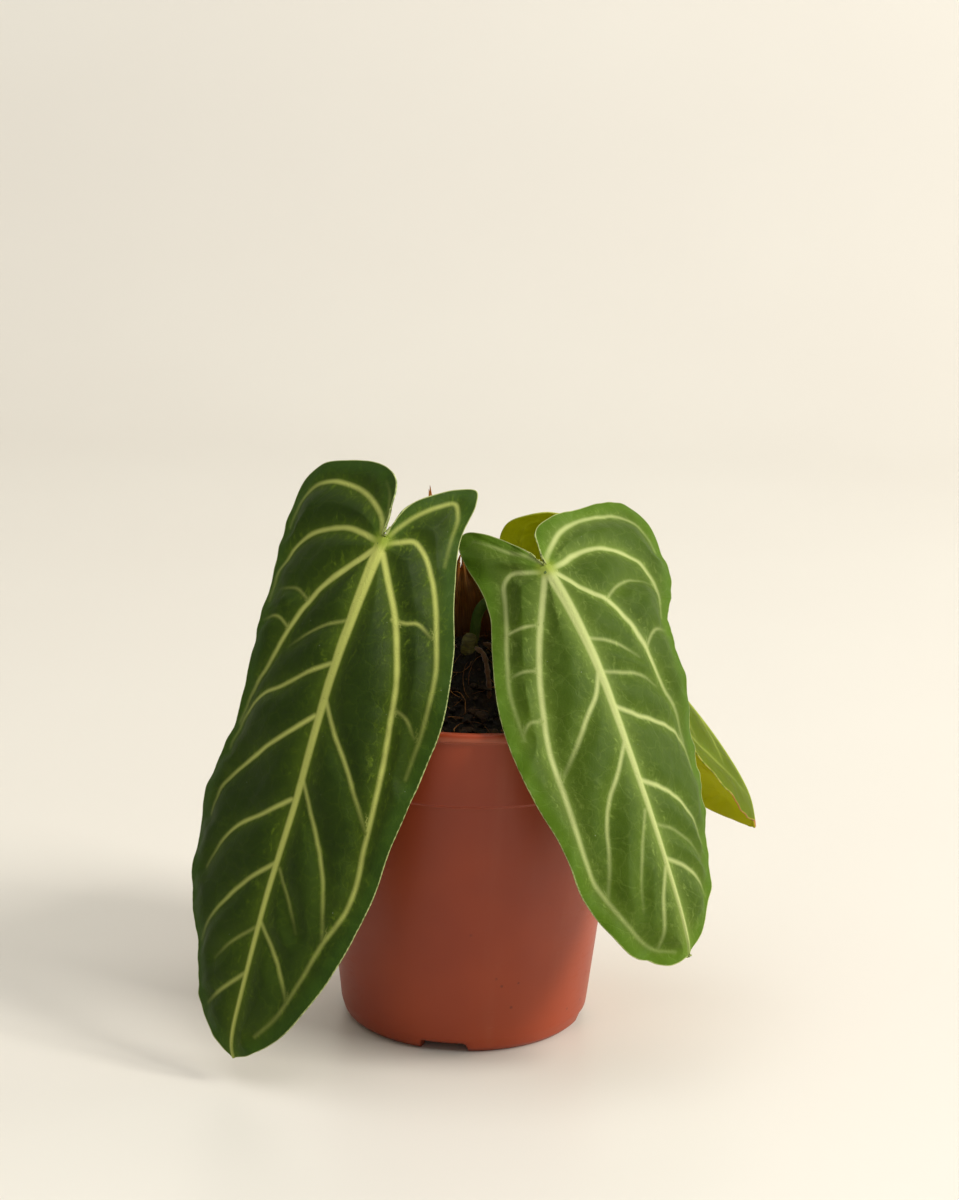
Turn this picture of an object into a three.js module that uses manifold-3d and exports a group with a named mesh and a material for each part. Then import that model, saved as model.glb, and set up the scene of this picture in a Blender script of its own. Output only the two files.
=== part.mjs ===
// A potted anthurium villenaorum: three hanging heart-shaped leaves on thin stalks,
// rising from a mounded potting mix in a 12 cm plastic nursery pot.
// Millimetres, +Z up, the front of the plant faces -Y.

import * as THREE from "three";
import { mergeVertices } from "three/addons/utils/BufferGeometryUtils.js";
import Module from "manifold-3d";

const wasm = await Module();
wasm.setup();

const SEAT_GAP = 0.3;

// Pot
const POT_HEIGHT = 124;
const RIM_RADIUS = 60;
const LIP_HEIGHT = 2.8;
const BAND_HEIGHT = 97;
const BAND_RADIUS = 57.2;
const WALL_TOP_RADIUS = 56.2;
const WALL_BASE_RADIUS = 45.7;
const WALL_BASE_HEIGHT = 6;
const FOOT_RADIUS = 42;
const FOOT_INNER_RADIUS = 38.6;
const WALL = 1.6;
const PLATE_UNDERSIDE = 4.6;
const PLATE_TOP = 6.2;
const NOTCH_WIDTH = 17;
const NOTCH_HEIGHT = 4;
const NOTCH_TURN = -9.4;
const DRAIN_RADIUS = 3.4;
const DRAIN_CIRCLE = 27;
const DRAIN_COUNT = 8;
const POT_SEGMENTS = 60;

// Potting mix
const MIX_EDGE_HEIGHT = 116.5;
const MIX_TOP_HEIGHT = 143.5;

// Leaves
const BLADE_THICKNESS = 0.9;
const PETIOLE_WIDTH = 4.2;
const PETIOLE_FOOT = 126;
const PETIOLE_JOIN = 3;

const material = (color, roughness) => new THREE.MeshStandardMaterial({ color, roughness, metalness: 0 });
const POT_LOOK = material(0x8e3e28, 0.35);
const MIX_LOOK = material(0x1c130a, 0.95);
const RHIZOME_LOOK = material(0x4f4a1c, 0.7);
const PETIOLE_LOOK = material(0x3f5a1e, 0.5);
const BLADE_LOOK = material(0x3f6420, 0.6);
const SHEATH_LOOK = material(0x8a4f1e, 0.8);
const ROOT_LOOK = material(0x9a5a26, 0.8);

const group = new THREE.Group();

function addPiece(name, geometry, look) {
  const mesh = new THREE.Mesh(geometry, look.clone());
  mesh.name = name;
  group.add(mesh);
  return mesh;
}

function weld(geometry) {
  const bare = geometry.clone();
  bare.deleteAttribute("normal");
  bare.deleteAttribute("uv");
  return mergeVertices(bare, 1e-4);
}

function toSolid(geometry) {
  const welded = weld(geometry);
  return new wasm.Manifold(new wasm.Mesh({
    numProp: 3,
    vertProperties: new Float32Array(welded.attributes.position.array),
    triVerts: new Uint32Array(welded.index.array),
  }));
}

function toGeometry(solid) {
  const mesh = solid.getMesh();
  const geometry = new THREE.BufferGeometry();
  geometry.setAttribute("position", new THREE.BufferAttribute(mesh.vertProperties, 3));
  geometry.setIndex(new THREE.BufferAttribute(mesh.triVerts, 1));
  geometry.computeVertexNormals();
  return geometry;
}

// A lathe turned about +Z instead of +Y
function turned(profile, segments) {
  const points = profile.map(([r, z]) => new THREE.Vector2(r, z));
  return new THREE.LatheGeometry(points, segments).rotateX(Math.PI / 2);
}

// Pot: foot ring, tapering wall, stepped band and rolled lip
const potProfile = [
  [0, PLATE_UNDERSIDE],
  [FOOT_INNER_RADIUS - 0.6, PLATE_UNDERSIDE],
  [FOOT_INNER_RADIUS, 0],
  [FOOT_RADIUS, 0],
  [FOOT_RADIUS + 2.4, 2],
  [WALL_BASE_RADIUS, WALL_BASE_HEIGHT],
  [WALL_TOP_RADIUS, BAND_HEIGHT - 0.5],
  [BAND_RADIUS, BAND_HEIGHT],
  [RIM_RADIUS - 1.4, POT_HEIGHT - LIP_HEIGHT - 0.5],
  [RIM_RADIUS - 0.2, POT_HEIGHT - LIP_HEIGHT],
  [RIM_RADIUS, POT_HEIGHT - 0.8],
  [RIM_RADIUS - 0.7, POT_HEIGHT],
  [RIM_RADIUS - 2.4, POT_HEIGHT],
  [RIM_RADIUS - 3.2, POT_HEIGHT - 0.8],
  [BAND_RADIUS - WALL, BAND_HEIGHT],
  [WALL_TOP_RADIUS - WALL, BAND_HEIGHT - 1.5],
  [WALL_BASE_RADIUS - WALL, PLATE_TOP + 1.2],
  [WALL_BASE_RADIUS - WALL - 1, PLATE_TOP],
  [0, PLATE_TOP],
];
let pot = toSolid(turned(potProfile, POT_SEGMENTS));

const notch = new THREE.Shape([
  new THREE.Vector2(-NOTCH_WIDTH / 2 - 0.8, -1),
  new THREE.Vector2(NOTCH_WIDTH / 2 + 0.8, -1),
  new THREE.Vector2(NOTCH_WIDTH / 2 - 0.8, NOTCH_HEIGHT - 0.8),
  new THREE.Vector2(NOTCH_WIDTH / 2 - 2, NOTCH_HEIGHT),
  new THREE.Vector2(-NOTCH_WIDTH / 2 + 2, NOTCH_HEIGHT),
  new THREE.Vector2(-NOTCH_WIDTH / 2 + 0.8, NOTCH_HEIGHT - 0.8),
]);
for (let side = 0; side < 4; side += 1) {
  const cut = new THREE.ExtrudeGeometry(notch, { depth: 12, bevelEnabled: false, steps: 1 });
  cut.rotateX(Math.PI / 2).translate(0, 2 - FOOT_INNER_RADIUS, 0);
  cut.rotateZ(THREE.MathUtils.degToRad(NOTCH_TURN + 90 * side));
  pot = pot.subtract(toSolid(cut));
}
for (let hole = 0; hole < DRAIN_COUNT; hole += 1) {
  const turn = (hole / DRAIN_COUNT) * 2 * Math.PI;
  const cut = new THREE.CylinderGeometry(DRAIN_RADIUS, DRAIN_RADIUS, 8, 14).rotateX(Math.PI / 2);
  cut.translate(DRAIN_CIRCLE * Math.cos(turn), DRAIN_CIRCLE * Math.sin(turn), PLATE_TOP);
  pot = pot.subtract(toSolid(cut));
}
addPiece("pot", toGeometry(pot), POT_LOOK);

// Leaves. The midrib runs from the junction to the tip. `face` is the compass angle that the
// upper side looks to at the lobes and lower down, `fold` and `curl` bend each half back from
// the midrib, and `lobeFold` adds to the fold at the lobes. `stalkGap` keeps the end of the stalk
// clear of the folded halves. Each half of a blade is a list of margin points, across and along,
// with the midrib point that each is tied to.
const leftLeaf = {
  midrib: [[-32, -27, 186], [-42, -42, 160], [-50, -52, 136], [-60, -62, 98], [-69, -69, 67], [-77, -74, 34],
    [-80.5, -75, 16], [-79, -75, 6]],
  stalkGap: 1.7,
  face: [-25, -33],
  lobeLean: 3,
  fold: [6, 4],
  lobeFold: [0, 24],
  curl: 4,
  halves: [
    [[0.8, -1, 0], [1, -12, 0.5], [3, -21, 1], [9, -26, 1.6], [18, -28, 2.4], [29, -27, 3.4], [40, -24, 4.6],
      [48, -16, 6], [49, -3, 9], [47, 12, 14], [43, 32, 26], [42, 56, 44], [42, 80, 66], [46, 104, 88],
      [45, 122, 108], [37, 143, 132], [24, 165, 156], [17, 180, 174], [6, 187, 184], [0.6, 192, 189]],
    [[0.8, -1, 0], [2, -8, 0.5], [5, -15, 1], [10, -20, 1.6], [17, -25, 2.4], [24, -27, 3.4], [26, -22, 4.6],
      [26, -11, 6], [28, 1, 9], [32, 16, 14], [39, 34, 26], [44, 56, 44], [42, 80, 66], [39, 104, 88],
      [38, 122, 108], [34, 143, 132], [27, 163, 156], [17, 180, 174], [8, 190, 184], [0.6, 192, 189]],
  ],
};

const rightLeaf = {
  midrib: [[25, -22, 176], [34, -36, 164], [44, -47, 146], [54, -56, 122], [64, -63, 96], [73, -68, 70],
    [77, -69, 56], [78, -69, 50]],
  stalkGap: 2,
  face: [12, 42],
  lobeLean: 3,
  fold: [9, 9],
  lobeFold: [20, 0],
  curl: 4,
  halves: [
    [[0.8, -1, 0], [3, -9, 0.5], [7, -17, 1], [12, -24, 1.6], [18, -29, 2.4], [22, -27, 3.4], [24, -17, 4.6],
      [24, -4, 6], [26, 7, 9], [32, 24, 17], [39, 46, 34], [41, 72, 58], [37, 96, 82], [35, 116, 104],
      [29, 132, 123], [20, 145, 137], [8, 151, 145], [0.6, 150, 147]],
    [[0.8, -1, 0], [1, -8, 0.5], [4, -16, 1], [13, -21, 1.6], [27, -25, 2.4], [42, -28, 3.4], [55, -27, 4.6],
      [61, -17, 6], [59, -2, 9], [52, 16, 17], [43, 42, 34], [42, 68, 56], [40, 88, 76], [35, 104, 95],
      [27, 120, 114], [19, 134, 131], [9, 143, 142], [0.6, 149, 147]],
  ],
};

const rearLeaf = {
  midrib: [[28, 24, 158], [44, 25, 151.5], [61, 25, 136.5], [78, 24, 118], [94, 23, 98], [105, 22, 80],
    [109, 22, 64]],
  stalkGap: 0.5,
  face: [102, 102],
  lobeLean: 4,
  fold: [17, 38],
  lobeFold: [-90, -20],
  curl: 4,
  halves: [
    [[0.8, -1, 0], [2, -12, 0.5], [6, -21, 1], [13, -27, 1.6], [21, -28, 2.4], [28, -21, 3.6], [31, -8, 5],
      [31, 8, 8], [32, 25, 16], [33, 45, 32], [32, 67, 53], [29, 86, 74], [25, 102, 93], [15, 116, 108],
      [3, 123, 119]],
    [[0.8, -1, 0], [3, -8, 0.5], [8, -14, 1], [15, -18, 1.6], [23, -18, 2.4], [30, -14, 3.6], [34, -4, 5],
      [36, 9, 8], [37, 25, 16], [37, 45, 32], [36, 67, 53], [35, 86, 74], [32, 104, 93], [22, 119, 108],
      [4, 126, 119]],
  ],
};

const LOBE_FOLD_ENDS = [-10, 50];
const FACE_TURNS = [-20, 100];

// How far an arc that starts at `angle` and turns by `rate` a millimetre goes along and aside
function arc(angle, rate, length) {
  return [
    (Math.sin(angle + rate * length) - Math.sin(angle)) / rate,
    (Math.cos(angle + rate * length) - Math.cos(angle)) / rate,
  ];
}

// Returns the function that bends leaf coordinates over the hanging midrib
function bladeSurface(leaf) {
  const { degToRad, smoothstep, clamp, lerp } = THREE.MathUtils;
  const spine = new THREE.CatmullRomCurve3(leaf.midrib.map((p) => new THREE.Vector3(...p)), false, "catmullrom");
  spine.arcLengthDivisions = 400;
  const length = spine.getLength();
  const lean = degToRad(leaf.lobeLean) / 10;
  const curl = degToRad(leaf.curl) / 10;

  return (across, along, lift) => {
    const u = clamp(along / length, 0, 1);
    const point = spine.getPointAt(u);
    const heading = spine.getTangentAt(u);
    const turn = degToRad(lerp(leaf.face[0], leaf.face[1], smoothstep(along, ...FACE_TURNS)));
    const sideways = new THREE.Vector3(Math.cos(turn), Math.sin(turn), 0);
    sideways.addScaledVector(heading, -sideways.dot(heading)).normalize();
    const upper = heading.clone().cross(sideways);

    // Behind the junction the lobes keep leaning back
    const [reach, rise] = arc(0, lean, Math.min(along, 0));
    point.addScaledVector(heading, reach + Math.max(along - length, 0)).addScaledVector(upper, rise);
    const face = upper.clone().applyAxisAngle(sideways, lean * Math.min(along, 0));

    const side = across < 0 ? 0 : 1;
    const hand = across < 0 ? -1 : 1;
    const lobe = 1 - smoothstep(along, ...LOBE_FOLD_ENDS);
    const fold = degToRad(leaf.fold[side] + leaf.lobeFold[side] * lobe);
    const [width, sag] = arc(fold, curl, Math.abs(across));
    const tilt = fold + curl * Math.abs(across);
    return point
      .addScaledVector(sideways, hand * (width + lift * Math.sin(tilt)))
      .addScaledVector(face, sag + lift * Math.cos(tilt));
  };
}

// A thin box laid over the blade: its rows fan out from the midrib to the margins
function bladeGeometry(leaf, rows, columns) {
  const surface = bladeSurface(leaf);
  const halves = leaf.halves.map((half) => (
    new THREE.CatmullRomCurve3(half.map((p) => new THREE.Vector3(...p)), false, "centripetal")
  ));
  const box = new THREE.BoxGeometry(2, 1, 1, columns, rows, 1);
  const position = box.attributes.position;
  for (let i = 0; i < position.count; i += 1) {
    const across = position.getX(i);
    const margin = halves[across < 0 ? 0 : 1].getPoint(THREE.MathUtils.clamp(0.5 - position.getY(i), 0, 1));
    const reach = Math.abs(across);
    const x = Math.sign(across) * margin.x * reach;
    const y = THREE.MathUtils.lerp(margin.z, margin.y, reach);
    const point = surface(x, y, position.getZ(i) * BLADE_THICKNESS);
    position.setXYZ(i, point.x, point.y, point.z);
  }
  return weld(box);
}

// A stalk with a softly four-sided section along a smooth path
function stalkGeometry(path, width, steps) {
  const section = new THREE.Shape();
  const sides = 12;
  for (let i = 0; i < sides; i += 1) {
    const turn = (i / sides) * 2 * Math.PI;
    const reach = (width / 2) * (1 - 0.06 * Math.cos(4 * turn));
    const x = reach * Math.cos(turn);
    const y = reach * Math.sin(turn);
    if (i === 0) section.moveTo(x, y);
    else section.lineTo(x, y);
  }
  section.closePath();
  const curve = new THREE.CatmullRomCurve3(path.map((p) => new THREE.Vector3(...p)));
  return new THREE.ExtrudeGeometry(section, { steps, bevelEnabled: false, extrudePath: curve });
}

// Petioles run from the crown to the back of each blade at its junction
function petiolePath(leaf, foot, middle) {
  const surface = bladeSurface(leaf);
  const end = surface(0, PETIOLE_JOIN, -BLADE_THICKNESS / 2 - leaf.stalkGap);
  const near = surface(0, PETIOLE_JOIN, -BLADE_THICKNESS / 2 - leaf.stalkGap - 6);
  return [foot, ...middle, near.toArray(), end.toArray()];
}

const petioles = {
  left: petiolePath(leftLeaf, [-7.5, -4.5, PETIOLE_FOOT], [[-9, -5, 145], [-14, -10, 161], [-21, -17, 174]]),
  right: petiolePath(rightLeaf, [1.5, -3, PETIOLE_FOOT], [[0.8, -3.2, 146], [3.6, -6.5, 157]]),
  rear: petiolePath(rearLeaf, [9, 7, PETIOLE_FOOT], [[9.5, 9, 142], [13, 13, 151]]),
};

// Rhizome: a short thick stem with a rounded end
const RHIZOME_RADIUS = 3.2;
const RHIZOME_TOP = 147.5;
const RHIZOME_FOOT = 122;
const RHIZOME_PLACE = [-1, -9.5];
function rhizomeGeometry(grow) {
  const r = RHIZOME_RADIUS + grow;
  return turned([
    [0, RHIZOME_FOOT - grow],
    [r - 1.2, RHIZOME_FOOT - grow],
    [r, RHIZOME_FOOT + 5],
    [r, RHIZOME_TOP - 4],
    [r - 0.5, RHIZOME_TOP - 2],
    [r - 1.6, RHIZOME_TOP - 0.5],
    [0, RHIZOME_TOP],
  ], 20).translate(...RHIZOME_PLACE, 0);
}

// Papery sheath leaves: a tapering strip wrapped round part of the crown
function sheathGeometry(sheath, grow) {
  const box = new THREE.BoxGeometry(2, 1, 1, 10, 12, 1);
  const position = box.attributes.position;
  const turn = THREE.MathUtils.degToRad(sheath.turn);
  const half = THREE.MathUtils.degToRad(sheath.halfAngle);
  for (let i = 0; i < position.count; i += 1) {
    const rise = position.getY(i) + 0.5;
    const taper = 1 - 0.9 * rise ** sheath.narrowing;
    const angle = turn + position.getX(i) * (half * taper + (grow / sheath.radius));
    const radius = sheath.radius + sheath.flare * rise * rise + position.getZ(i) * (sheath.thickness + 2 * grow);
    const height = sheath.foot - grow + rise * (sheath.top - sheath.foot + grow);
    position.setXYZ(
      i,
      sheath.centre[0] + radius * Math.sin(angle) + sheath.lean[0] * rise,
      sheath.centre[1] - radius * Math.cos(angle) + sheath.lean[1] * rise,
      height,
    );
  }
  return weld(box);
}

const SHEATHS = {
  cataphyll_front: {
    centre: [-0.5, -12], turn: 180, halfAngle: 44, radius: 14, flare: 0, thickness: 0.8, foot: 124, top: 172.5,
    narrowing: 2.4, lean: [-4, 0],
  },
  cataphyll_left: {
    centre: [0, 0], turn: -105, halfAngle: 34, radius: 14, flare: 2, thickness: 0.8, foot: 124, top: 195,
    narrowing: 1.4, lean: [-1, 0],
  },
  cataphyll_rear: {
    centre: [0, 0], turn: -175, halfAngle: 32, radius: 13, flare: 1, thickness: 0.8, foot: 124, top: 160,
    narrowing: 1.4, lean: [-1, 1],
  },
};

// Short thick roots that leave the crown and dive into the mix
const ROOT_WIDTH = 2;
const ROOTS = {
  aerial_root_front: [[1.2, -13.6, 143], [4, -16, 141.5], [6, -20, 134], [7, -23, 121]],
  aerial_root_right: [[3.9, -9.7, 143.5], [8, -10, 142.5], [13, -10.5, 137], [17, -10.5, 122]],
  aerial_root_left: [[-5.8, -10.5, 143], [-10, -12, 140], [-14, -13, 132], [-16, -14, 120]],
};

// Potting mix: fills the pot, mounds up round the crown, with a pocket for each seated piece
const mixProfile = [
  [0, PLATE_TOP + SEAT_GAP],
  [WALL_BASE_RADIUS - WALL - 1.5, PLATE_TOP + SEAT_GAP],
  [WALL_BASE_RADIUS - WALL - SEAT_GAP, PLATE_TOP + 1.5],
  [WALL_TOP_RADIUS - WALL - SEAT_GAP, BAND_HEIGHT - 1.4],
  [BAND_RADIUS - WALL - SEAT_GAP, BAND_HEIGHT + 0.2],
  [RIM_RADIUS - 3.7, MIX_EDGE_HEIGHT],
  [50, MIX_EDGE_HEIGHT + 0.6],
  [38, MIX_EDGE_HEIGHT + 3],
  [28, MIX_EDGE_HEIGHT + 7],
  [20, MIX_EDGE_HEIGHT + 14],
  [13, MIX_TOP_HEIGHT - 4],
  [6, MIX_TOP_HEIGHT - 0.8],
  [0, MIX_TOP_HEIGHT],
];
let mix = toSolid(turned(mixProfile, POT_SEGMENTS));
const pockets = [rhizomeGeometry(SEAT_GAP)];
for (const path of Object.values(petioles)) {
  const [foot, ...rest] = path;
  const lower = [foot[0], foot[1], foot[2] - SEAT_GAP];
  pockets.push(stalkGeometry([lower, ...rest], PETIOLE_WIDTH + 2 * SEAT_GAP, 20));
}
for (const sheath of Object.values(SHEATHS)) pockets.push(sheathGeometry(sheath, SEAT_GAP));
for (const path of Object.values(ROOTS)) {
  const end = path[path.length - 1];
  const deeper = [end[0], end[1], end[2] - SEAT_GAP];
  pockets.push(stalkGeometry([...path.slice(0, -1), deeper], ROOT_WIDTH + 2 * SEAT_GAP, 12));
}
for (const pocket of pockets) mix = mix.subtract(toSolid(pocket));

addPiece("potting_mix", toGeometry(mix), MIX_LOOK);
addPiece("rhizome", rhizomeGeometry(0), RHIZOME_LOOK);
for (const [name, path] of Object.entries(petioles)) {
  addPiece(`petiole_${name}`, stalkGeometry(path, PETIOLE_WIDTH, 20), PETIOLE_LOOK);
}
addPiece("leaf_left", bladeGeometry(leftLeaf, 34, 16), BLADE_LOOK);
addPiece("leaf_right", bladeGeometry(rightLeaf, 30, 16), BLADE_LOOK);
addPiece("leaf_rear", bladeGeometry(rearLeaf, 28, 14), BLADE_LOOK);
for (const [name, sheath] of Object.entries(SHEATHS)) {
  addPiece(name, sheathGeometry(sheath, 0), SHEATH_LOOK);
}
for (const [name, path] of Object.entries(ROOTS)) {
  addPiece(name, stalkGeometry(path, ROOT_WIDTH, 12), ROOT_LOOK);
}

// The row's origin is under the middle of the whole plant
const bounds = new THREE.Box3().setFromObject(group);
const middle = bounds.getCenter(new THREE.Vector3());
group.children.forEach((piece) => piece.position.set(-middle.x, -middle.y, 0));

export default group;
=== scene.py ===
import math
import random

import bmesh
import bpy
import numpy as np
from mathutils import Matrix, Vector, kdtree, noise


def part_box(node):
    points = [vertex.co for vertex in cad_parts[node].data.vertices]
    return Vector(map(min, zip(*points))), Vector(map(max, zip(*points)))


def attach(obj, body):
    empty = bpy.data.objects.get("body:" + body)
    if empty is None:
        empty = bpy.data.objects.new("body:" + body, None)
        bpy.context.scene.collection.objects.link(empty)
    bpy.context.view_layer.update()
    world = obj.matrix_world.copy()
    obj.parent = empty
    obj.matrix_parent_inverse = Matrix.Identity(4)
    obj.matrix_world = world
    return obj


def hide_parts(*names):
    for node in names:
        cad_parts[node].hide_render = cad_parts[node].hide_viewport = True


bl_info = {
    "name": "Potted Anthurium",
    "version": (1, 0, 0),
    "blender": (4, 5, 0),
    "location": "View3D > Sidebar > Anthurium",
    "description": "Hanging velvet leaves, crown, potting mix and nursery pot around a fixed CAD frame",
    "category": "Object",
}

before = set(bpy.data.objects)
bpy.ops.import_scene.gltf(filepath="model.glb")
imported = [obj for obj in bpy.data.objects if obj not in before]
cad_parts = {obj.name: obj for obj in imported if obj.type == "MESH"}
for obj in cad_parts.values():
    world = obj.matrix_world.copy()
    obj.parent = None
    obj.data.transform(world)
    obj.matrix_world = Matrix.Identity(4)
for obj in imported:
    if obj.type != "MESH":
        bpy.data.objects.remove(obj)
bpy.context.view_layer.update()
POT_LOW, POT_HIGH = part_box("pot")
POT_AXIS = (POT_LOW + POT_HIGH) / 2
POT_AXIS.z = 0.0
MM = 0.001
BODY = "root"

# Pot, in millimetres
RIM_RADIUS = 1000 * (POT_HIGH.x - POT_LOW.x) / 2
POT_HEIGHT = 1000 * POT_HIGH.z
LIP_HEIGHT = 2.8
BAND_HEIGHT = 97
BAND_RADIUS = 57.2
WALL_TOP_RADIUS = 56.2
WALL_BASE_RADIUS = 45.7
WALL_BASE_HEIGHT = 6
FOOT_RADIUS = 42
FOOT_INNER_RADIUS = 38.6
WALL = 1.6
PLATE_UNDERSIDE = 4.6
PLATE_TOP = 6.2
NOTCH_WIDTH = 17
NOTCH_HEIGHT = 4
NOTCH_TURN = -9.4
DRAIN_RADIUS = 3.4
DRAIN_CIRCLE = 27
DRAIN_COUNT = 8

# Potting mix: radius and height of its mounded top, from the wall to the crown
MOUND = [(56.3, 116.5), (50, 117.1), (38, 119.5), (28, 123.5), (20, 130.5), (13, 139.5), (6, 142.7),
         (0, 143.5)]
MIX_GAP = 0.3            # between the mix and the pot
CRUMB_SEED = 11
FIBRE_SEED = 23
FRAY_SEED = 40

# Camera, in millimetres and degrees about the pot's axis, for a picture of 959 by 1200 pixels
CAMERA_PLACE = (0, -1000, 402.4)
CAMERA_PITCH = 13.77
CAMERA_YAW = 0.13
CAMERA_ROLL = 1.4
CAMERA_LENS = 85.35


def srgb(red, green, blue):
    """A colour from display numbers of 0 to 255, as linear numbers."""
    def linear(value):
        value /= 255
        return value / 12.92 if value <= 0.04045 else ((value + 0.055) / 1.055) ** 2.4
    return linear(red), linear(green), linear(blue), 1.0


def spline(points, steps, power):
    """Catmull-Rom curve through the points: power 0 is uniform and 0.5 is centripetal."""
    points = np.asarray(points, float)
    points = np.vstack([2 * points[0] - points[1], points, 2 * points[-1] - points[-2]])
    gaps = np.linalg.norm(np.diff(points, axis=0), axis=1) ** power
    t = np.arange(steps)[:, None] / steps
    found = []
    for i in range(1, len(points) - 2):
        before, start, end, after = points[i - 1:i + 3]
        gap0, gap1, gap2 = gaps[i - 1:i + 2]
        leave = ((start - before) / gap0 - (end - before) / (gap0 + gap1) + (end - start) / gap1) * gap1
        arrive = ((end - start) / gap1 - (after - start) / (gap1 + gap2) + (after - end) / gap2) * gap1
        rise = end - start
        square = 3 * rise - 2 * leave - arrive
        cube = leave + arrive - 2 * rise
        found.append(start + leave * t + square * t ** 2 + cube * t ** 3)
    return np.vstack([*found, points[-2][None]])


def lengths_along(points):
    """How far along a run of points each one is."""
    return np.concatenate([[0], np.cumsum(np.linalg.norm(np.diff(points, axis=0), axis=1))])


def even_points(points, step):
    """The same run of points, spaced evenly by about a step."""
    run = lengths_along(points)
    stops = np.linspace(0, run[-1], max(2, int(run[-1] / step) + 1))
    return np.stack([np.interp(stops, run, points[:, i]) for i in range(points.shape[1])], -1)


def smooth(value, low, high):
    """0 below low, 1 above high and an S-curve between them."""
    t = np.clip((value - low) / (high - low), 0, 1)
    return t * t * (3 - 2 * t)


def waves(across, along, size, seed):
    """A gentle uneven swell, from about -1 to 1, with waves of about that size."""
    rng = random.Random(seed)
    total = 0
    for _ in range(5):
        turn = rng.uniform(0, math.pi)
        pace = 2 * math.pi / (size * rng.uniform(0.7, 1.5))
        reach = across * math.cos(turn) + along * math.sin(turn)
        total = total + np.sin(pace * reach + rng.uniform(0, 6.28))
    return total / 3


def to_frame(points):
    """Millimetres about the pot's axis, as metres in the frame."""
    return np.asarray(points, float) * MM + np.array(POT_AXIS)


def bring_to_frame(shape):
    """Takes a bmesh from millimetres about the pot's axis into the frame."""
    bmesh.ops.scale(shape, verts=shape.verts, vec=(MM, MM, MM))
    bmesh.ops.translate(shape, verts=shape.verts, vec=POT_AXIS)


def add_object(name, mesh, materials, replaced):
    """Puts a finished mesh in the scene as a piece of the plant."""
    piece = bpy.data.objects.new(name, mesh)
    bpy.context.scene.collection.objects.link(piece)
    for material in materials:
        mesh.materials.append(material)
    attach(piece, BODY)
    if replaced:
        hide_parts(*replaced)
    return piece


def finish_mesh(name, shape, smooth_faces=True):
    """Turns a bmesh into a mesh."""
    mesh = bpy.data.meshes.new(name)
    shape.to_mesh(mesh)
    shape.free()
    mesh.polygons.foreach_set("use_smooth", [smooth_faces] * len(mesh.polygons))
    return mesh


def move_vertices(mesh, places):
    """Puts a mesh's vertices at new places."""
    mesh.vertices.foreach_set("co", np.asarray(places, np.float32).ravel())
    mesh.update()


def vertex_places(mesh):
    """Where a mesh's vertices are, one row each."""
    places = np.zeros(len(mesh.vertices) * 3, np.float32)
    mesh.vertices.foreach_get("co", places)
    return places.reshape(-1, 3).astype(float)


def give_attribute(mesh, name, values):
    """Stores a number or a vector for each vertex."""
    values = np.asarray(values, np.float32)
    if values.ndim == 1:
        mesh.attributes.new(name, "FLOAT", "POINT").data.foreach_set("value", values)
    else:
        mesh.attributes.new(name, "FLOAT_VECTOR", "POINT").data.foreach_set("vector", values.ravel())


def rounded(profile, reach, steps=5):
    """A profile with its inner corners rounded off, each by up to reach."""
    points = [Vector(p) for p in profile]
    found = [points[0]]
    for before, corner, after in zip(points, points[1:], points[2:]):
        back = min(reach, 0.45 * (corner - before).length, 0.45 * (after - corner).length)
        start = corner + (before - corner).normalized() * back
        end = corner + (after - corner).normalized() * back
        for i in range(steps + 1):
            t = i / steps
            found.append(start * (1 - t) ** 2 + corner * 2 * t * (1 - t) + end * t ** 2)
    return found + [points[-1]]


def turned(profile, steps):
    """A bmesh that is a profile of radius and height, spun about the pot's axis. In millimetres."""
    shape = bmesh.new()
    rings = [shape.verts.new((x, 0, z)) for x, z in profile]
    edges = [shape.edges.new(pair) for pair in zip(rings, rings[1:])]
    bmesh.ops.spin(shape, geom=rings + edges, cent=(0, 0, 0), axis=(0, 0, 1), angle=2 * math.pi, steps=steps,
                   use_merge=True)
    bmesh.ops.remove_doubles(shape, verts=shape.verts, dist=0.001)
    bmesh.ops.recalc_face_normals(shape, faces=shape.faces)
    return shape


def tubes(name, runs, bevel_resolution):
    """One mesh of round tubes. Each run is its points in millimetres and its radius at each of them."""
    curve = bpy.data.curves.new(name, "CURVE")
    curve.dimensions = "3D"
    curve.bevel_depth = 1.0
    curve.bevel_resolution = bevel_resolution
    curve.use_fill_caps = True
    for points, radii in runs:
        places = to_frame(points)
        line = curve.splines.new("POLY")
        line.points.add(len(places) - 1)
        line.points.foreach_set("co", np.hstack([places, np.ones((len(places), 1))]).ravel())
        line.points.foreach_set("radius", np.asarray(radii) * MM)
    holder = bpy.data.objects.new(name, curve)
    bpy.context.scene.collection.objects.link(holder)
    seen = holder.evaluated_get(bpy.context.evaluated_depsgraph_get())
    shape = bmesh.new()
    shape.from_mesh(seen.to_mesh())
    bpy.data.objects.remove(holder)
    bpy.data.curves.remove(curve)
    bmesh.ops.remove_doubles(shape, verts=shape.verts, dist=1e-7)
    bmesh.ops.recalc_face_normals(shape, faces=shape.faces)
    return finish_mesh(name, shape)


def both_ways(operation):
    """A maths operator between a reading and another value, and its reflected form."""
    def forward(self, other):
        return self.maths(operation, self, other)

    def reflected(self, other):
        return self.maths(operation, other, self)

    return forward, reflected


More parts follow.
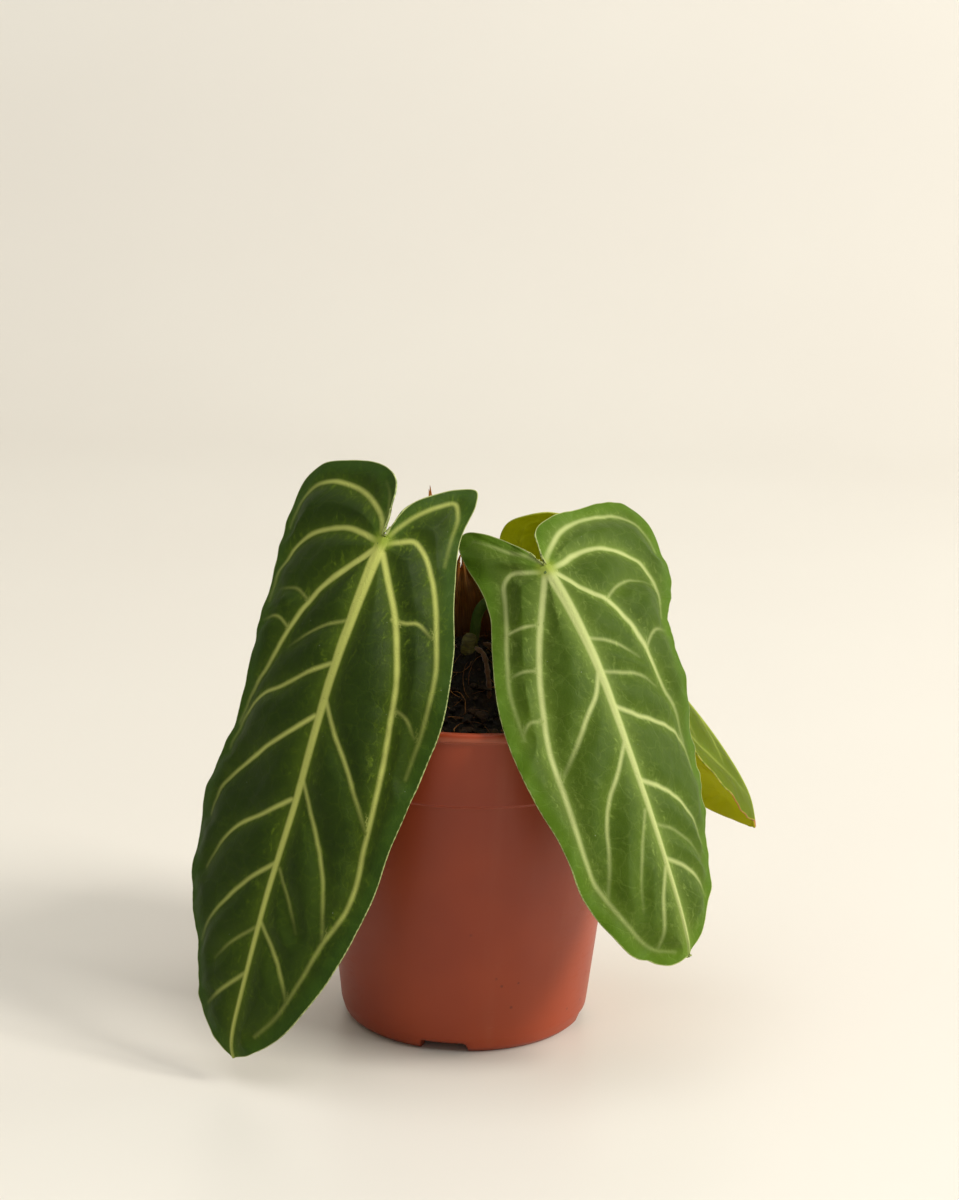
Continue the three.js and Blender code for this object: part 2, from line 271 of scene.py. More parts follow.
class Reading:
    """What a shader node gives. Python's operators on it add Math nodes."""

    def __init__(self, paint, socket):
        self.paint = paint
        self.socket = socket

    def maths(self, operation, *inputs):
        return self.paint.node("ShaderNodeMath", {"operation": operation}, dict(enumerate(inputs)))

    __add__, __radd__ = both_ways("ADD")
    __sub__, __rsub__ = both_ways("SUBTRACT")
    __mul__, __rmul__ = both_ways("MULTIPLY")
    __truediv__, __rtruediv__ = both_ways("DIVIDE")

    def __pow__(self, other):
        return self.maths("POWER", self, other)

    def least(self, other):
        """The smaller of the two."""
        return self.maths("MINIMUM", self, other)

    def step(self, low, high):
        """0 at low, 1 at high and an S-curve between them; low may be the larger number."""
        return self.paint.node("ShaderNodeMapRange", {"interpolation_type": "SMOOTHSTEP"},
                               {"Value": self, "From Min": low, "From Max": high})


class Paint:
    """A procedural material, as its node tree is written."""

    def __init__(self, name):
        self.material = bpy.data.materials.new(name)
        self.material.use_nodes = True
        self.tree = self.material.node_tree
        self.tree.nodes.clear()
        self.colour = None

    def node(self, kind, settings=None, sockets=None, output=0):
        """Adds a node: its settings first, then the values or links of its sockets."""
        made = self.tree.nodes.new(kind)
        for name, value in (settings or {}).items():
            setattr(made, name, value)
        for name, value in (sockets or {}).items():
            if isinstance(value, Reading):
                self.tree.links.new(value.socket, made.inputs[name])
            else:
                made.inputs[name].default_value = value
        return Reading(self, made.outputs[output] if made.outputs else None)

    def attribute(self, name):
        """A number stored in the mesh."""
        return self.node("ShaderNodeAttribute", {"attribute_name": name}, output="Fac")

    def place(self, name=None):
        """A vector stored in the mesh, or else the object's own coordinates in metres."""
        if name:
            return self.node("ShaderNodeAttribute", {"attribute_name": name}, output="Vector")
        return self.node("ShaderNodeTexCoord", output="Object")

    def split(self, vector):
        found = self.node("ShaderNodeSeparateXYZ", sockets={0: vector})
        return [Reading(self, socket) for socket in found.socket.node.outputs]

    def scaled(self, vector, scale):
        return self.node("ShaderNodeMapping", sockets={"Vector": vector, "Scale": scale})

    def vector_maths(self, operation, sockets):
        return self.node("ShaderNodeVectorMath", {"operation": operation}, sockets)

    def shifted(self, vector, colour, amount):
        """A vector moved about by a noise's colour."""
        centred = self.vector_maths("SUBTRACT", {0: colour, 1: (0.5, 0.5, 0.5)})
        moved = self.vector_maths("SCALE", {0: centred, "Scale": amount})
        return self.vector_maths("ADD", {0: vector, 1: moved})

    def noise(self, vector, scale, detail=3.0, rough=0.55, output="Fac"):
        return self.node("ShaderNodeTexNoise", {"normalize": True},
                         {"Vector": vector, "Scale": scale, "Detail": detail, "Roughness": rough}, output)

    def cells(self, vector, scale, feature="F1"):
        return self.node("ShaderNodeTexVoronoi", {"feature": feature}, {"Vector": vector, "Scale": scale},
                         "Distance")

    def mix(self, factor, first, second):
        """Two colours mixed."""
        return self.node("ShaderNodeMix", {"data_type": "RGBA"}, {0: factor, 6: first, 7: second}, 2)

    def coat(self, amount, colour):
        """Lays another colour over the ones so far."""
        self.colour = self.mix(amount, self.colour, colour)

    def bump(self, height_mm, strength=1.0):
        """A surface normal from a height in millimetres."""
        sockets = {"Height": height_mm, "Distance": MM, "Strength": strength}
        return self.node("ShaderNodeBump", sockets=sockets, output="Normal")

    def finish(self, translucency=0.0, through=None, **sockets):
        """Adds the surface, with a share of light let through, and returns the material."""
        inputs = {"Base Color": self.colour}
        for name, value in sockets.items():
            inputs[name.replace("_", " ").title().replace("Ior", "IOR")] = value
        surface = self.node("ShaderNodeBsdfPrincipled", sockets=inputs)
        if translucency:
            behind = self.node("ShaderNodeBsdfTranslucent", sockets={"Color": through})
            surface = self.node("ShaderNodeMixShader", sockets={0: translucency, 1: surface, 2: behind})
        self.node("ShaderNodeOutputMaterial", sockets={"Surface": surface})
        return self.material


# Leaves. The midrib runs from the junction to the tip, in millimetres about the pot's axis. `face` is
# the compass angle that the upper side looks to at the lobes and lower down, `fold` and `curl` bend
# each half back from the midrib, and `lobe_fold` adds to the fold at the lobes. A half is a list of
# margin points, across and along, each with the midrib point that it is tied to. A vein is its width
# at both ends, how pale it is, and its points, across and along.
LEFT_LEAF = dict(
    midrib=[(-32, -27, 186), (-42, -42, 160), (-50, -52, 136), (-60, -62, 98), (-69, -69, 67),
            (-77, -74, 34), (-80.5, -75, 16), (-79, -75, 6)],
    face=(-25, -33), lobe_lean=3, fold=(6, 4), lobe_fold=(0, 24), curl=4, midrib_width=(4.0, 0.8),
    halves=[
        [(0.8, -1, 0), (1, -12, 0.5), (3, -21, 1), (9, -26, 1.6), (18, -28, 2.4), (29, -27, 3.4),
         (40, -24, 4.6), (48, -16, 6), (49, -3, 9), (47, 12, 14), (43, 32, 26), (42, 56, 44), (42, 80, 66),
         (46, 104, 88), (45, 122, 108), (37, 143, 132), (24, 165, 156), (17, 180, 174), (6, 187, 184),
         (0.6, 192, 189)],
        [(0.8, -1, 0), (2, -8, 0.5), (5, -15, 1), (10, -20, 1.6), (17, -25, 2.4), (24, -27, 3.4),
         (26, -22, 4.6), (26, -11, 6), (28, 1, 9), (32, 16, 14), (39, 34, 26), (44, 56, 44), (42, 80, 66),
         (39, 104, 88), (38, 122, 108), (34, 143, 132), (27, 163, 156), (17, 180, 174), (8, 190, 184),
         (0.6, 192, 189)],
    ],
    main_veins=[
        (1.6, 1.0, 0.9, [(-1, -1), (-3, -6), (-8, -11), (-17, -16), (-26, -18), (-33, -18), (-41, -15),
            (-45, -9), (-46, 0)]),
        (1.8, 1.0, 0.9, [(-2, 2), (-9, 0), (-15, -1), (-24, 0), (-32, 2), (-38, 6), (-41, 11), (-43, 18),
            (-41, 30)]),
        (2.6, 1.0, 1.0, [(-1, 5), (-6, 10), (-11, 15), (-18, 22), (-24, 32), (-28, 42), (-32, 54),
            (-36, 64), (-39, 78)]),
        (1.2, 0.8, 0.7, [(2, -1), (4, -5), (8, -11), (14, -17), (19, -20), (22, -16), (23, -8), (24, 2)]),
        (1.5, 0.8, 0.8, [(2, 2), (6, 0), (11, -2), (16, 1), (21, 8), (26, 18), (31, 30), (36, 43), (38, 60),
            (37, 80)]),
        (1.8, 0.9, 1.0, [(2, 6), (8, 16), (14, 26), (20, 39), (24, 50), (26, 62), (28, 77), (29, 90),
            (30, 108), (31, 118), (30, 129), (25, 142), (21, 156), (16, 170), (9, 181)]),
    ],
    side_veins=[
        (0.8, 0.5, 0.3, [(-1, -3), (-2, -10), (-4, -16), (-8, -21)]),
        (0.7, 0.5, 0.45, [(-2, 33), (-9, 36), (-16, 40), (-24, 46)]),
        (1.1, 0.7, 0.8, [(-2, 49), (-10, 54), (-20, 61), (-29, 66), (-36, 75), (-40, 88)]),
        (1.3, 0.7, 1.0, [(-2, 68), (-12, 77), (-23, 86), (-33, 96), (-38, 104), (-40, 114)]),
        (1.2, 0.7, 0.9, [(-2, 98), (-12, 106), (-22, 113), (-29, 122), (-33, 132)]),
        (1.1, 0.6, 0.8, [(-1, 121), (-11, 131), (-18, 140), (-23, 148), (-26, 157)]),
        (0.6, 0.4, 0.4, [(-1, 144), (-9, 152), (-15, 160)]),
        (0.9, 0.6, 0.7, [(-1, 161), (-9, 170), (-14, 177)]),
        (0.8, 0.6, 0.7, [(14, 28), (19, 28), (23, 27), (29, 30)]),
        (1.1, 0.7, 0.9, [(1, 62), (8, 72), (16, 82), (22, 91), (29, 101)]),
        (0.9, 0.6, 0.75, [(1, 91), (8, 101), (15, 112), (20, 122), (23, 133), (25, 142)]),
        (0.6, 0.4, 0.4, [(2, 122), (10, 132), (15, 141)]),
        (0.9, 0.6, 0.7, [(1, 142), (9, 150), (14, 158), (18, 166)]),
        (0.7, 0.5, 0.4, [(25, 58), (31, 60), (36, 66)]),
        (0.6, 0.4, 0.35, [(-22, 28), (-29, 24), (-37, 25)]),
        (0.6, 0.4, 0.5, [(-27, 40), (-33, 36), (-40, 38)]),
    ],
)

RIGHT_LEAF = dict(
    midrib=[(25, -22, 176), (34, -36, 164), (44, -47, 146), (54, -56, 122), (64, -63, 96), (73, -68, 70),
            (77, -69, 56), (78, -69, 50)],
    face=(12, 42), lobe_lean=3, fold=(9, 9), lobe_fold=(20, 0), curl=4, midrib_width=(3.8, 0.8),
    halves=[
        [(0.8, -1, 0), (3, -9, 0.5), (7, -17, 1), (12, -24, 1.6), (18, -29, 2.4), (22, -27, 3.4),
         (24, -17, 4.6), (24, -4, 6), (26, 7, 9), (32, 24, 17), (39, 46, 34), (41, 72, 58), (37, 96, 82),
         (35, 116, 104), (29, 132, 123), (20, 145, 137), (8, 151, 145), (0.6, 150, 147)],
        [(0.8, -1, 0), (1, -8, 0.5), (4, -16, 1), (13, -21, 1.6), (27, -25, 2.4), (42, -28, 3.4),
         (55, -27, 4.6), (61, -17, 6), (59, -2, 9), (52, 16, 17), (43, 42, 34), (42, 68, 56), (40, 88, 76),
         (35, 104, 95), (27, 120, 114), (19, 134, 131), (9, 143, 142), (0.6, 149, 147)],
    ],
    main_veins=[
        (1.6, 0.9, 0.9, [(1, -1), (3, -4), (8, -9), (14, -14), (25, -19), (37, -21), (48, -21), (55, -16),
            (56, -6)]),
        (1.9, 0.9, 1.0, [(2, 2), (8, 0), (14, -3), (23, -5), (35, -4), (43, -1), (46, 5), (45, 14),
            (42, 30)]),
        (2.4, 0.8, 1.0, [(2, 4), (11, 14), (17, 20), (22, 29), (25, 40), (29, 55), (33, 67), (34, 79)]),
        (1.1, 0.7, 0.7, [(-1, -2), (-4, -7), (-8, -12), (-13, -19), (-17, -24)]),
        (1.4, 0.7, 0.8, [(-2, 2), (-7, -1), (-12, -4), (-16, -2), (-19, 5), (-23, 16), (-28, 28), (-33, 42),
            (-35, 60)]),
        (1.9, 0.8, 1.0, [(-2, 4), (-10, 18), (-16, 29), (-21, 40), (-25, 53), (-28, 66), (-29, 81),
            (-30, 94), (-30, 103), (-29, 113), (-26, 122), (-21, 133), (-14, 143), (-6, 147)]),
    ],
    side_veins=[
        (0.7, 0.5, 0.55, [(1, 33), (6, 35), (12, 38), (20, 44)]),
        (0.7, 0.5, 0.55, [(1, 46), (8, 48), (16, 50), (25, 56)]),
        (1.2, 0.7, 0.95, [(1, 59), (9, 64), (18, 68), (27, 73), (33, 80), (35, 90)]),
        (1.2, 0.7, 0.95, [(1, 86), (9, 91), (17, 97), (22, 106), (25, 116)]),
        (1.0, 0.6, 0.8, [(0, 114), (7, 119), (13, 126), (16, 134)]),
        (0.6, 0.4, 0.3, [(1, 102), (8, 106), (14, 112), (19, 120)]),
        (0.8, 0.5, 0.75, [(-24, 19), (-19, 20), (-11, 22)]),
        (1.1, 0.8, 0.9, [(-1, 46), (-5, 53), (-11, 59), (-18, 67), (-27, 76)]),
        (1.0, 0.6, 0.8, [(-1, 72), (-8, 81), (-14, 88), (-18, 96), (-21, 107), (-26, 120)]),
        (0.7, 0.5, 0.4, [(-2, 96), (-8, 107), (-13, 119), (-15, 128)]),
        (0.9, 0.6, 0.7, [(-1, 117), (-6, 127), (-9, 137), (-13, 144)]),
        (0.6, 0.5, 0.5, [(-20, 38), (-25, 36), (-31, 36)]),
        (0.6, 0.4, 0.4, [(-26, 56), (-31, 55), (-36, 60)]),
        (0.6, 0.4, 0.5, [(16, 20), (23, 14), (33, 9), (44, 9)]),
        (0.6, 0.4, 0.5, [(25, 42), (32, 36), (41, 36)]),
    ],
)

REAR_LEAF = dict(
    midrib=[(28, 24, 158), (44, 25, 151.5), (61, 25, 136.5), (78, 24, 118), (94, 23, 98), (105, 22, 80),
            (109, 22, 64)],
    face=(102, 102), lobe_lean=4, fold=(17, 38), lobe_fold=(-90, -20), curl=4, midrib_width=(3.0, 0.8),
    halves=[
        [(0.8, -1, 0), (2, -12, 0.5), (6, -21, 1), (13, -27, 1.6), (21, -28, 2.4), (28, -21, 3.6),
         (31, -8, 5), (31, 8, 8), (32, 25, 16), (33, 45, 32), (32, 67, 53), (29, 86, 74), (25, 102, 93),
         (15, 116, 108), (3, 123, 119)],
        [(0.8, -1, 0), (3, -8, 0.5), (8, -14, 1), (15, -18, 1.6), (23, -18, 2.4), (30, -14, 3.6),
         (34, -4, 5), (36, 9, 8), (37, 25, 16), (37, 45, 32), (36, 67, 53), (35, 86, 74), (32, 104, 93),
         (22, 119, 108), (4, 126, 119)],
    ],
    main_veins=[
        (1.4, 0.7, 0.9, [(-1, -1), (-4, -7), (-9, -14), (-16, -20), (-23, -20), (-26, -11), (-27, 2)]),
        (1.6, 0.7, 0.9, [(-1, 2), (-8, 0), (-15, -3), (-21, 2), (-26, 14), (-29, 30), (-29, 46)]),
        (1.8, 0.7, 1.0, [(-1, 5), (-8, 14), (-14, 24), (-19, 38), (-22, 54), (-22, 70), (-18, 86),
            (-12, 101), (-4, 113)]),
        (1.4, 0.7, 0.9, [(1, -1), (4, -5), (10, -10), (18, -13), (26, -10), (30, -2), (31, 8)]),
        (1.6, 0.7, 0.9, [(1, 2), (9, 2), (17, 3), (25, 9), (30, 20), (31, 34), (29, 48)]),
        (1.8, 0.7, 1.0, [(1, 5), (8, 14), (14, 25), (19, 39), (22, 54), (22, 70), (18, 86), (12, 101),
            (4, 113)]),
    ],
    side_veins=[
        (0.9, 0.5, 0.8, [(-1, 34), (-8, 42), (-15, 49), (-22, 56)]),
        (0.9, 0.5, 0.8, [(-1, 56), (-8, 65), (-14, 73), (-20, 82)]),
        (0.8, 0.5, 0.7, [(-1, 78), (-7, 87), (-12, 95)]),
        (0.9, 0.5, 0.8, [(1, 38), (8, 46), (15, 53), (22, 60)]),
        (0.9, 0.5, 0.8, [(1, 60), (8, 69), (14, 77), (20, 84)]),
        (0.8, 0.5, 0.7, [(1, 82), (7, 90), (12, 97)]),
    ],
)
LOBE_FOLD_ENDS = (-10, 50)   # along the leaf, where the lobes' own fold fades out
FACE_TURNS = (-20, 100)      # along the leaf, where the upper side turns
VEIN_WIDTH = 0.78            # of the listed widths


class Blade:
    """One leaf's surface: places on the flat leaf, across and along, bent over its hanging midrib."""

    def __init__(self, leaf):
        self.leaf = leaf
        self.spine = spline(leaf["midrib"], 60, 0)
        self.run = lengths_along(self.spine)
        self.length = self.run[-1]
        heading = np.gradient(self.spine, self.run, axis=0)
        self.heading = heading / np.linalg.norm(heading, axis=1, keepdims=True)
        self.margins = [spline(half, 40, 0.5) for half in leaf["halves"]]

    def along_midrib(self, along, values):
        """Values listed along the midrib, read at other places along it."""
        return np.stack([np.interp(along, self.run, values[:, i]) for i in range(3)], -1)

    def bend(self, across, along, lift):
        """Points in millimetres for places on the leaf, lifted off its middle surface."""
        leaf = self.leaf
        on_rib = np.clip(along, 0, self.length)
        point = self.along_midrib(on_rib, self.spine)
        heading = self.along_midrib(on_rib, self.heading)
        heading /= np.linalg.norm(heading, axis=-1, keepdims=True)
        face_top, face_low = leaf["face"]
        turn = np.radians(face_top + (face_low - face_top) * smooth(along, *FACE_TURNS))
        sideways = np.stack([np.cos(turn), np.sin(turn), 0 * turn], -1)
        sideways -= (sideways * heading).sum(-1, keepdims=True) * heading
        sideways /= np.linalg.norm(sideways, axis=-1, keepdims=True)
        upper = np.cross(heading, sideways)

        lean = math.radians(leaf["lobe_lean"]) / 10
        behind = np.minimum(along, 0)[..., None]
        beyond = np.maximum(along - self.length, 0)[..., None]
        straight = np.sin(lean * behind) / lean + beyond
        point = point + heading * straight - upper * (1 - np.cos(lean * behind)) / lean
        face = upper * np.cos(lean * behind) - heading * np.sin(lean * behind)

        fold = np.where(across < 0, leaf["fold"][0], leaf["fold"][1]).astype(float)
        lobe = np.where(across < 0, leaf["lobe_fold"][0], leaf["lobe_fold"][1])
        fold = np.radians(fold + lobe * (1 - smooth(along, *LOBE_FOLD_ENDS)))
        curl = math.radians(leaf["curl"]) / 10
        tilt = fold + curl * np.abs(across)
        width = (np.sin(tilt) - np.sin(fold)) / curl
        sag = (np.cos(tilt) - np.cos(fold)) / curl
        hand = np.where(across < 0, -1, 1)
        point += sideways * (hand * (width + lift * np.sin(tilt)))[..., None]
        point += face * (sag + lift * np.cos(tilt))[..., None]
        return point


def vein_samples(veins):
    """Places along veins, each with half its width there and its paleness."""
    found = []
    for start_width, end_width, pale, points in veins:
        line = even_points(spline(points, 12, 0.5), 0.15)
        t = np.linspace(0, 1, len(line))
        half = VEIN_WIDTH * (start_width + (end_width - start_width) * t ** 0.7) / 2
        found.append(np.column_stack([line, half, pale * (1 - 0.75 * smooth(t, 0.45, 1))]))
    return np.vstack(found)


def nearest(samples, across, along):
    """The nearest sample to each place, and how far away it is."""
    tree = kdtree.KDTree(len(samples))
    for i, sample in enumerate(samples):
        tree.insert((sample[0], sample[1], 0), i)
    tree.balance()
    found = [tree.find((x, y, 0))[1:] for x, y in zip(across, along)]
    index, gap = zip(*found)
    return samples[list(index)], np.array(gap)


class BladeMesh:
    """A leaf's fine mesh and what its materials read from it."""

    # How far from a vein or an edge each effect reaches, in millimetres
    MAIN_PILLOW = 5.5
    SIDE_PILLOW = 4.0
    MAIN_HALO = 2.6
    SIDE_HALO = 1.7
    RIB_HALO = 3.2
    EDGE_RIPPLE = 5
    # Height of each swell of the blade in millimetres, and the length of its waves
    BROAD_SWELL = (0.9, 30)
    SMALL_SWELL = (0.16, 7)
    RIB_RIDGE = 0.35

    def __init__(self, leaf, rows, columns):
        self.blade = Blade(leaf)
        self.leaf = leaf
        shape = bmesh.new()
        bmesh.ops.create_grid(shape, x_segments=columns, y_segments=rows, size=1)
        self.mesh = finish_mesh("blade", shape)
        grid = vertex_places(self.mesh)
        reach = np.abs(grid[:, 0])
        row = (1 - grid[:, 1]) / 2
        left, right = self.blade.margins
        run = (lengths_along(left) + lengths_along(right)) / 2
        even = np.interp(row, run / run[-1], np.arange(len(run)))
        margin = np.where((grid[:, 0] < 0)[:, None], self.rows_at(left, even), self.rows_at(right, even))
        tie = (self.rows_at(left, even)[:, 2] + self.rows_at(right, even)[:, 2]) / 2
        tie += (margin[:, 1] - tie) * smooth(row, 0.97, 1)
        margin[:, 0] *= 1 - 0.35 * smooth(row, 0.985, 1)
        self.across = np.sign(grid[:, 0]) * margin[:, 0] * reach
        self.along = tie + (margin[:, 1] - tie) * reach
        self.row_run = row * run[-1]

    @staticmethod
    def rows_at(margin, index):
        """Points of a margin at fractional places in its list."""
        return np.stack([np.interp(index, np.arange(len(margin)), margin[:, i]) for i in range(3)], -1)

    def shape(self, quilt, ripple, seed):
        """Lifts the blade between its veins, ripples its margin and bends it into place.

        Returns how thick each vertex is, as a share of the full thickness.
        """
        across, along = self.across, self.along
        main = vein_samples(self.leaf["main_veins"])
        side = vein_samples(self.leaf["side_veins"])
        main_near, main_gap = nearest(main, across, along)
        side_near, side_gap = nearest(side, across, along)
        edges = np.vstack([self.blade.margins[0] * (-1, 1, 1), self.blade.margins[1]])
        _, margin_gap = nearest(edges, across, along)

        rib_start, rib_end = self.leaf["midrib_width"]
        t = np.clip(along / self.blade.length, 0, 1)
        rib_half = (rib_start + (rib_end - rib_start) * t ** 0.8) / 2
        rib_half = np.where(along < 0, 0.4, rib_half)
        rib_gap = np.where(along < 0, np.hypot(across, along), np.abs(across))

        pillow = 1 - np.exp(-(np.minimum(main_gap, rib_gap) / self.MAIN_PILLOW) ** 2)
        pillow *= 0.35 + 0.65 * (1 - np.exp(-(side_gap / self.SIDE_PILLOW) ** 2))
        pillow *= 0.4 + 0.6 * smooth(margin_gap, 0, 9)
        lift = quilt * pillow
        lift += self.RIB_RIDGE * np.exp(-(rib_gap / rib_half) ** 2) * smooth(along, -2, 3)
        broad, broad_size = self.BROAD_SWELL
        lift += broad * waves(across, along, broad_size, seed) * smooth(rib_gap, 3, 20)
        small, small_size = self.SMALL_SWELL
        lift += small * waves(across, along, small_size, seed + 9) * smooth(rib_gap, 2, 8)
        edge = np.exp(-margin_gap / self.EDGE_RIPPLE)
        half = np.sign(across)
        sway = waves(self.row_run, 60 * half, 26, seed + 5) + 0.25 * waves(self.row_run, 50 * half, 9, seed)
        lift += ripple * edge * sway * smooth(rib_gap, 4, 14)

        main_wins = main_gap - main_near[:, 2] < side_gap - side_near[:, 2]
        chosen = np.where(main_wins[:, None], main_near, side_near)
        gap = np.where(main_wins, main_gap, side_gap)
        main_clear = np.maximum(main_gap - main_near[:, 2], 0)
        side_clear = np.maximum(side_gap - side_near[:, 2], 0)
        rib_clear = np.maximum(rib_gap - rib_half, 0)
        halo = np.maximum(main_near[:, 3] * np.exp(-main_clear / self.MAIN_HALO),
                          0.7 * side_near[:, 3] * np.exp(-side_clear / self.SIDE_HALO))
        halo = np.maximum(halo, np.exp(-rib_clear / self.RIB_HALO) * smooth(along, -4, 2))

        give_attribute(self.mesh, "leaf_place", np.column_stack([across, along, 0 * across]))
        offset = np.column_stack([chosen[:, 0] - across, chosen[:, 1] - along, chosen[:, 2]])
        give_attribute(self.mesh, "vein_offset", offset)
        give_attribute(self.mesh, "vein_gap", gap)
        give_attribute(self.mesh, "vein_pale", chosen[:, 3])
        give_attribute(self.mesh, "halo", halo)
        give_attribute(self.mesh, "margin_gap", margin_gap)
        give_attribute(self.mesh, "rib_edge", rib_gap - rib_half)
        move_vertices(self.mesh, to_frame(self.blade.bend(across, along, lift)))

        ribs = np.exp(-(rib_gap / (rib_half * 1.1)) ** 2) * smooth(along, -3, 2)
        thick = np.maximum(ribs, 0.5 * np.exp(-(main_gap / (main_near[:, 2] * 1.5)) ** 2) * main_near[:, 3])
        thick = np.maximum(thick, 0.25 * np.exp(-(side_gap / (side_near[:, 2] * 1.6)) ** 2) * side_near[:, 3])
        return thick * smooth(margin_gap, 0, 2)


def vein_masks(paint):
    """The lines of the drawn veins and of the midrib, from 0 to 1."""
    dx, dy, half = paint.split(paint.place("vein_offset"))
    gap = paint.attribute("vein_gap")
    close = (dx * dx + dy * dy) ** 0.5
    core = (close - half).step(1.05, -0.5) * gap.step(2.2, 1.2)
    line = core * paint.attribute("vein_pale")
    midrib = paint.attribute("rib_edge").step(0.75, -0.45)
    return line, midrib


def blade_upper(name, look):
    """The velvety upper side of a leaf."""
    paint = Paint(name)
    place = paint.place("leaf_place")
    line, midrib = vein_masks(paint)
    halo = paint.attribute("halo")
    margin = paint.attribute("margin_gap")
    across, along, _ = paint.split(place)

    wander = paint.noise(place, 0.11, 3, output="Color")
    net_place = paint.shifted(place, wander, 9.0)
    coarse_net = paint.cells(net_place, 0.13, "DISTANCE_TO_EDGE").step(0.055, 0.0)
    fine_net = paint.cells(net_place, 0.48, "DISTANCE_TO_EDGE").step(0.09, 0.0)
    streak_place = paint.scaled(net_place, (1.0, 0.22, 1.0))
    streaks = paint.noise(streak_place, 0.8, 4, 0.65)
    patches = paint.noise(place, 0.045, 2)
    mottle = paint.noise(place, 0.5, 5, 0.7)
    velvet = paint.noise(place, 4.2, 3, 0.7)

    paint.colour = paint.mix(patches.step(0.3, 0.7), look.lamina_deep, look.lamina)
    paint.coat(mottle.step(0.35, 0.75) * 0.35, look.lamina_light)
    hollow = paint.attribute("vein_gap").step(1.0, 6.5) * paint.attribute("rib_edge").step(1.0, 6.0)
    paint.coat(hollow * (0.35 + 0.35 * mottle), look.hollow)
    paint.coat(streaks.step(0.52, 0.74) * halo.step(0.02, 0.35) * look.streaks, look.halo)
    paint.coat(halo ** 1.6 * look.halo_strength, look.halo)
    paint.coat(coarse_net * look.net_strength, look.halo)
    paint.coat(fine_net * (look.net_strength * 0.35), look.halo)
    paint.coat(velvet.step(0.3, 0.8) * 0.16, look.lamina_light)
    paint.coat((line * look.vein_strength).least(1.0), look.vein)
    rib_tone = paint.mix(velvet.step(0.2, 0.9) * 0.5, look.vein, look.vein_deep)
    paint.coat(midrib * 0.94, rib_tone)
    junction = ((across * across + (along - 1.0) * (along - 1.0)) ** 0.5).step(5.5, 1.0)
    paint.coat(junction * 0.75, look.junction)
    paint.coat(margin.step(7.5, 1.5) * look.margin_band, look.margin_green)
    paint.coat(margin.step(0.42, 0.16) * 0.85, look.margin)
    if look.specks:
        spots = paint.cells(place, 0.9).step(0.13, 0.07)
        chosen = paint.noise(place, 0.35, 1).step(0.52, 0.6) * paint.attribute("rib_edge").step(1.4, -0.6)
        paint.coat(spots * chosen * look.specks, srgb(58, 52, 16))
    dust = paint.cells(place, 0.21).step(0.045, 0.02) * paint.noise(place, 0.09, 1).step(0.5, 0.6)
    paint.coat(dust * 0.5, srgb(190, 200, 170))

    rough = 0.50 + 0.16 * mottle - 0.08 * midrib - 0.05 * line
    height = velvet * 0.035 + mottle * 0.06 + line * 0.10 + fine_net * -0.035 + coarse_net * -0.06
    return paint.finish(
        translucency=look.translucency, through=look.through, roughness=rough,
        normal=paint.bump(height, 0.8), specular_ior_level=0.16, sheen_weight=look.sheen,
        sheen_roughness=0.45, sheen_tint=(0.72, 0.90, 0.45, 1))


def blade_under(name, look):
    """The paler underside of a leaf, with its raised veins."""
    paint = Paint(name)
    place = paint.place("leaf_place")
    line, midrib = vein_masks(paint)
    wander = paint.noise(place, 0.11, 3, output="Color")
    net_place = paint.shifted(place, wander, 9.0)
    coarse_net = paint.cells(net_place, 0.13, "DISTANCE_TO_EDGE").step(0.07, 0.0)
    fine_net = paint.cells(net_place, 0.5, "DISTANCE_TO_EDGE").step(0.10, 0.0)
    patches = paint.noise(place, 0.06, 3)
    grain = paint.noise(place, 2.4, 4, 0.7)
    paint.colour = paint.mix(patches.step(0.3, 0.7), look.under_deep, look.under)
    paint.coat(grain.step(0.4, 0.8) * 0.3, look.under_deep)
    paint.coat(fine_net * 0.16, look.under_vein)
    paint.coat(coarse_net * 0.34, look.under_vein)
    paint.coat((line + midrib).least(1.0) * 0.8, look.under_vein)
    paint.coat(paint.attribute("margin_gap").step(0.8, 0.2) * 0.6, look.margin)
    height = grain * 0.04 + coarse_net * 0.12 + fine_net * 0.05
    return paint.finish(
        translucency=look.translucency, through=look.through,
        roughness=0.46 + 0.2 * grain, normal=paint.bump(height, 0.8), specular_ior_level=0.45)


def blade_margin(name, look):
    """The thin pale skin along a leaf's edge, browned towards the tip where the leaf has dried."""
    paint = Paint(name)
    _, along, _ = paint.split(paint.place("leaf_place"))
    grain = paint.noise(paint.place("leaf_place"), 0.5, 3)
    paint.colour = paint.mix(grain.step(0.35, 0.7), look.margin, look.margin_green)
    paint.coat((along + grain * 8).step(look.dry_from, look.dry_from + 6), look.dry)
    return paint.finish(roughness=0.5 + 0.1 * grain, specular_ior_level=0.4)


def colour_property(name, description, red, green, blue):
    """A colour, given by its display numbers."""
    return bpy.props.FloatVectorProperty(
        name=name, description=description, subtype="COLOR", size=4, min=0, max=1,
        default=srgb(red, green, blue))


def share_property(name, description, default):
    """A number from 0 to 1."""
    return bpy.props.FloatProperty(
        name=name, description=description, subtype="FACTOR", min=0, max=1, default=default)


def count_property(name, description, default):
    """A whole number."""
    return bpy.props.IntProperty(name=name, description=description, min=0, default=default)


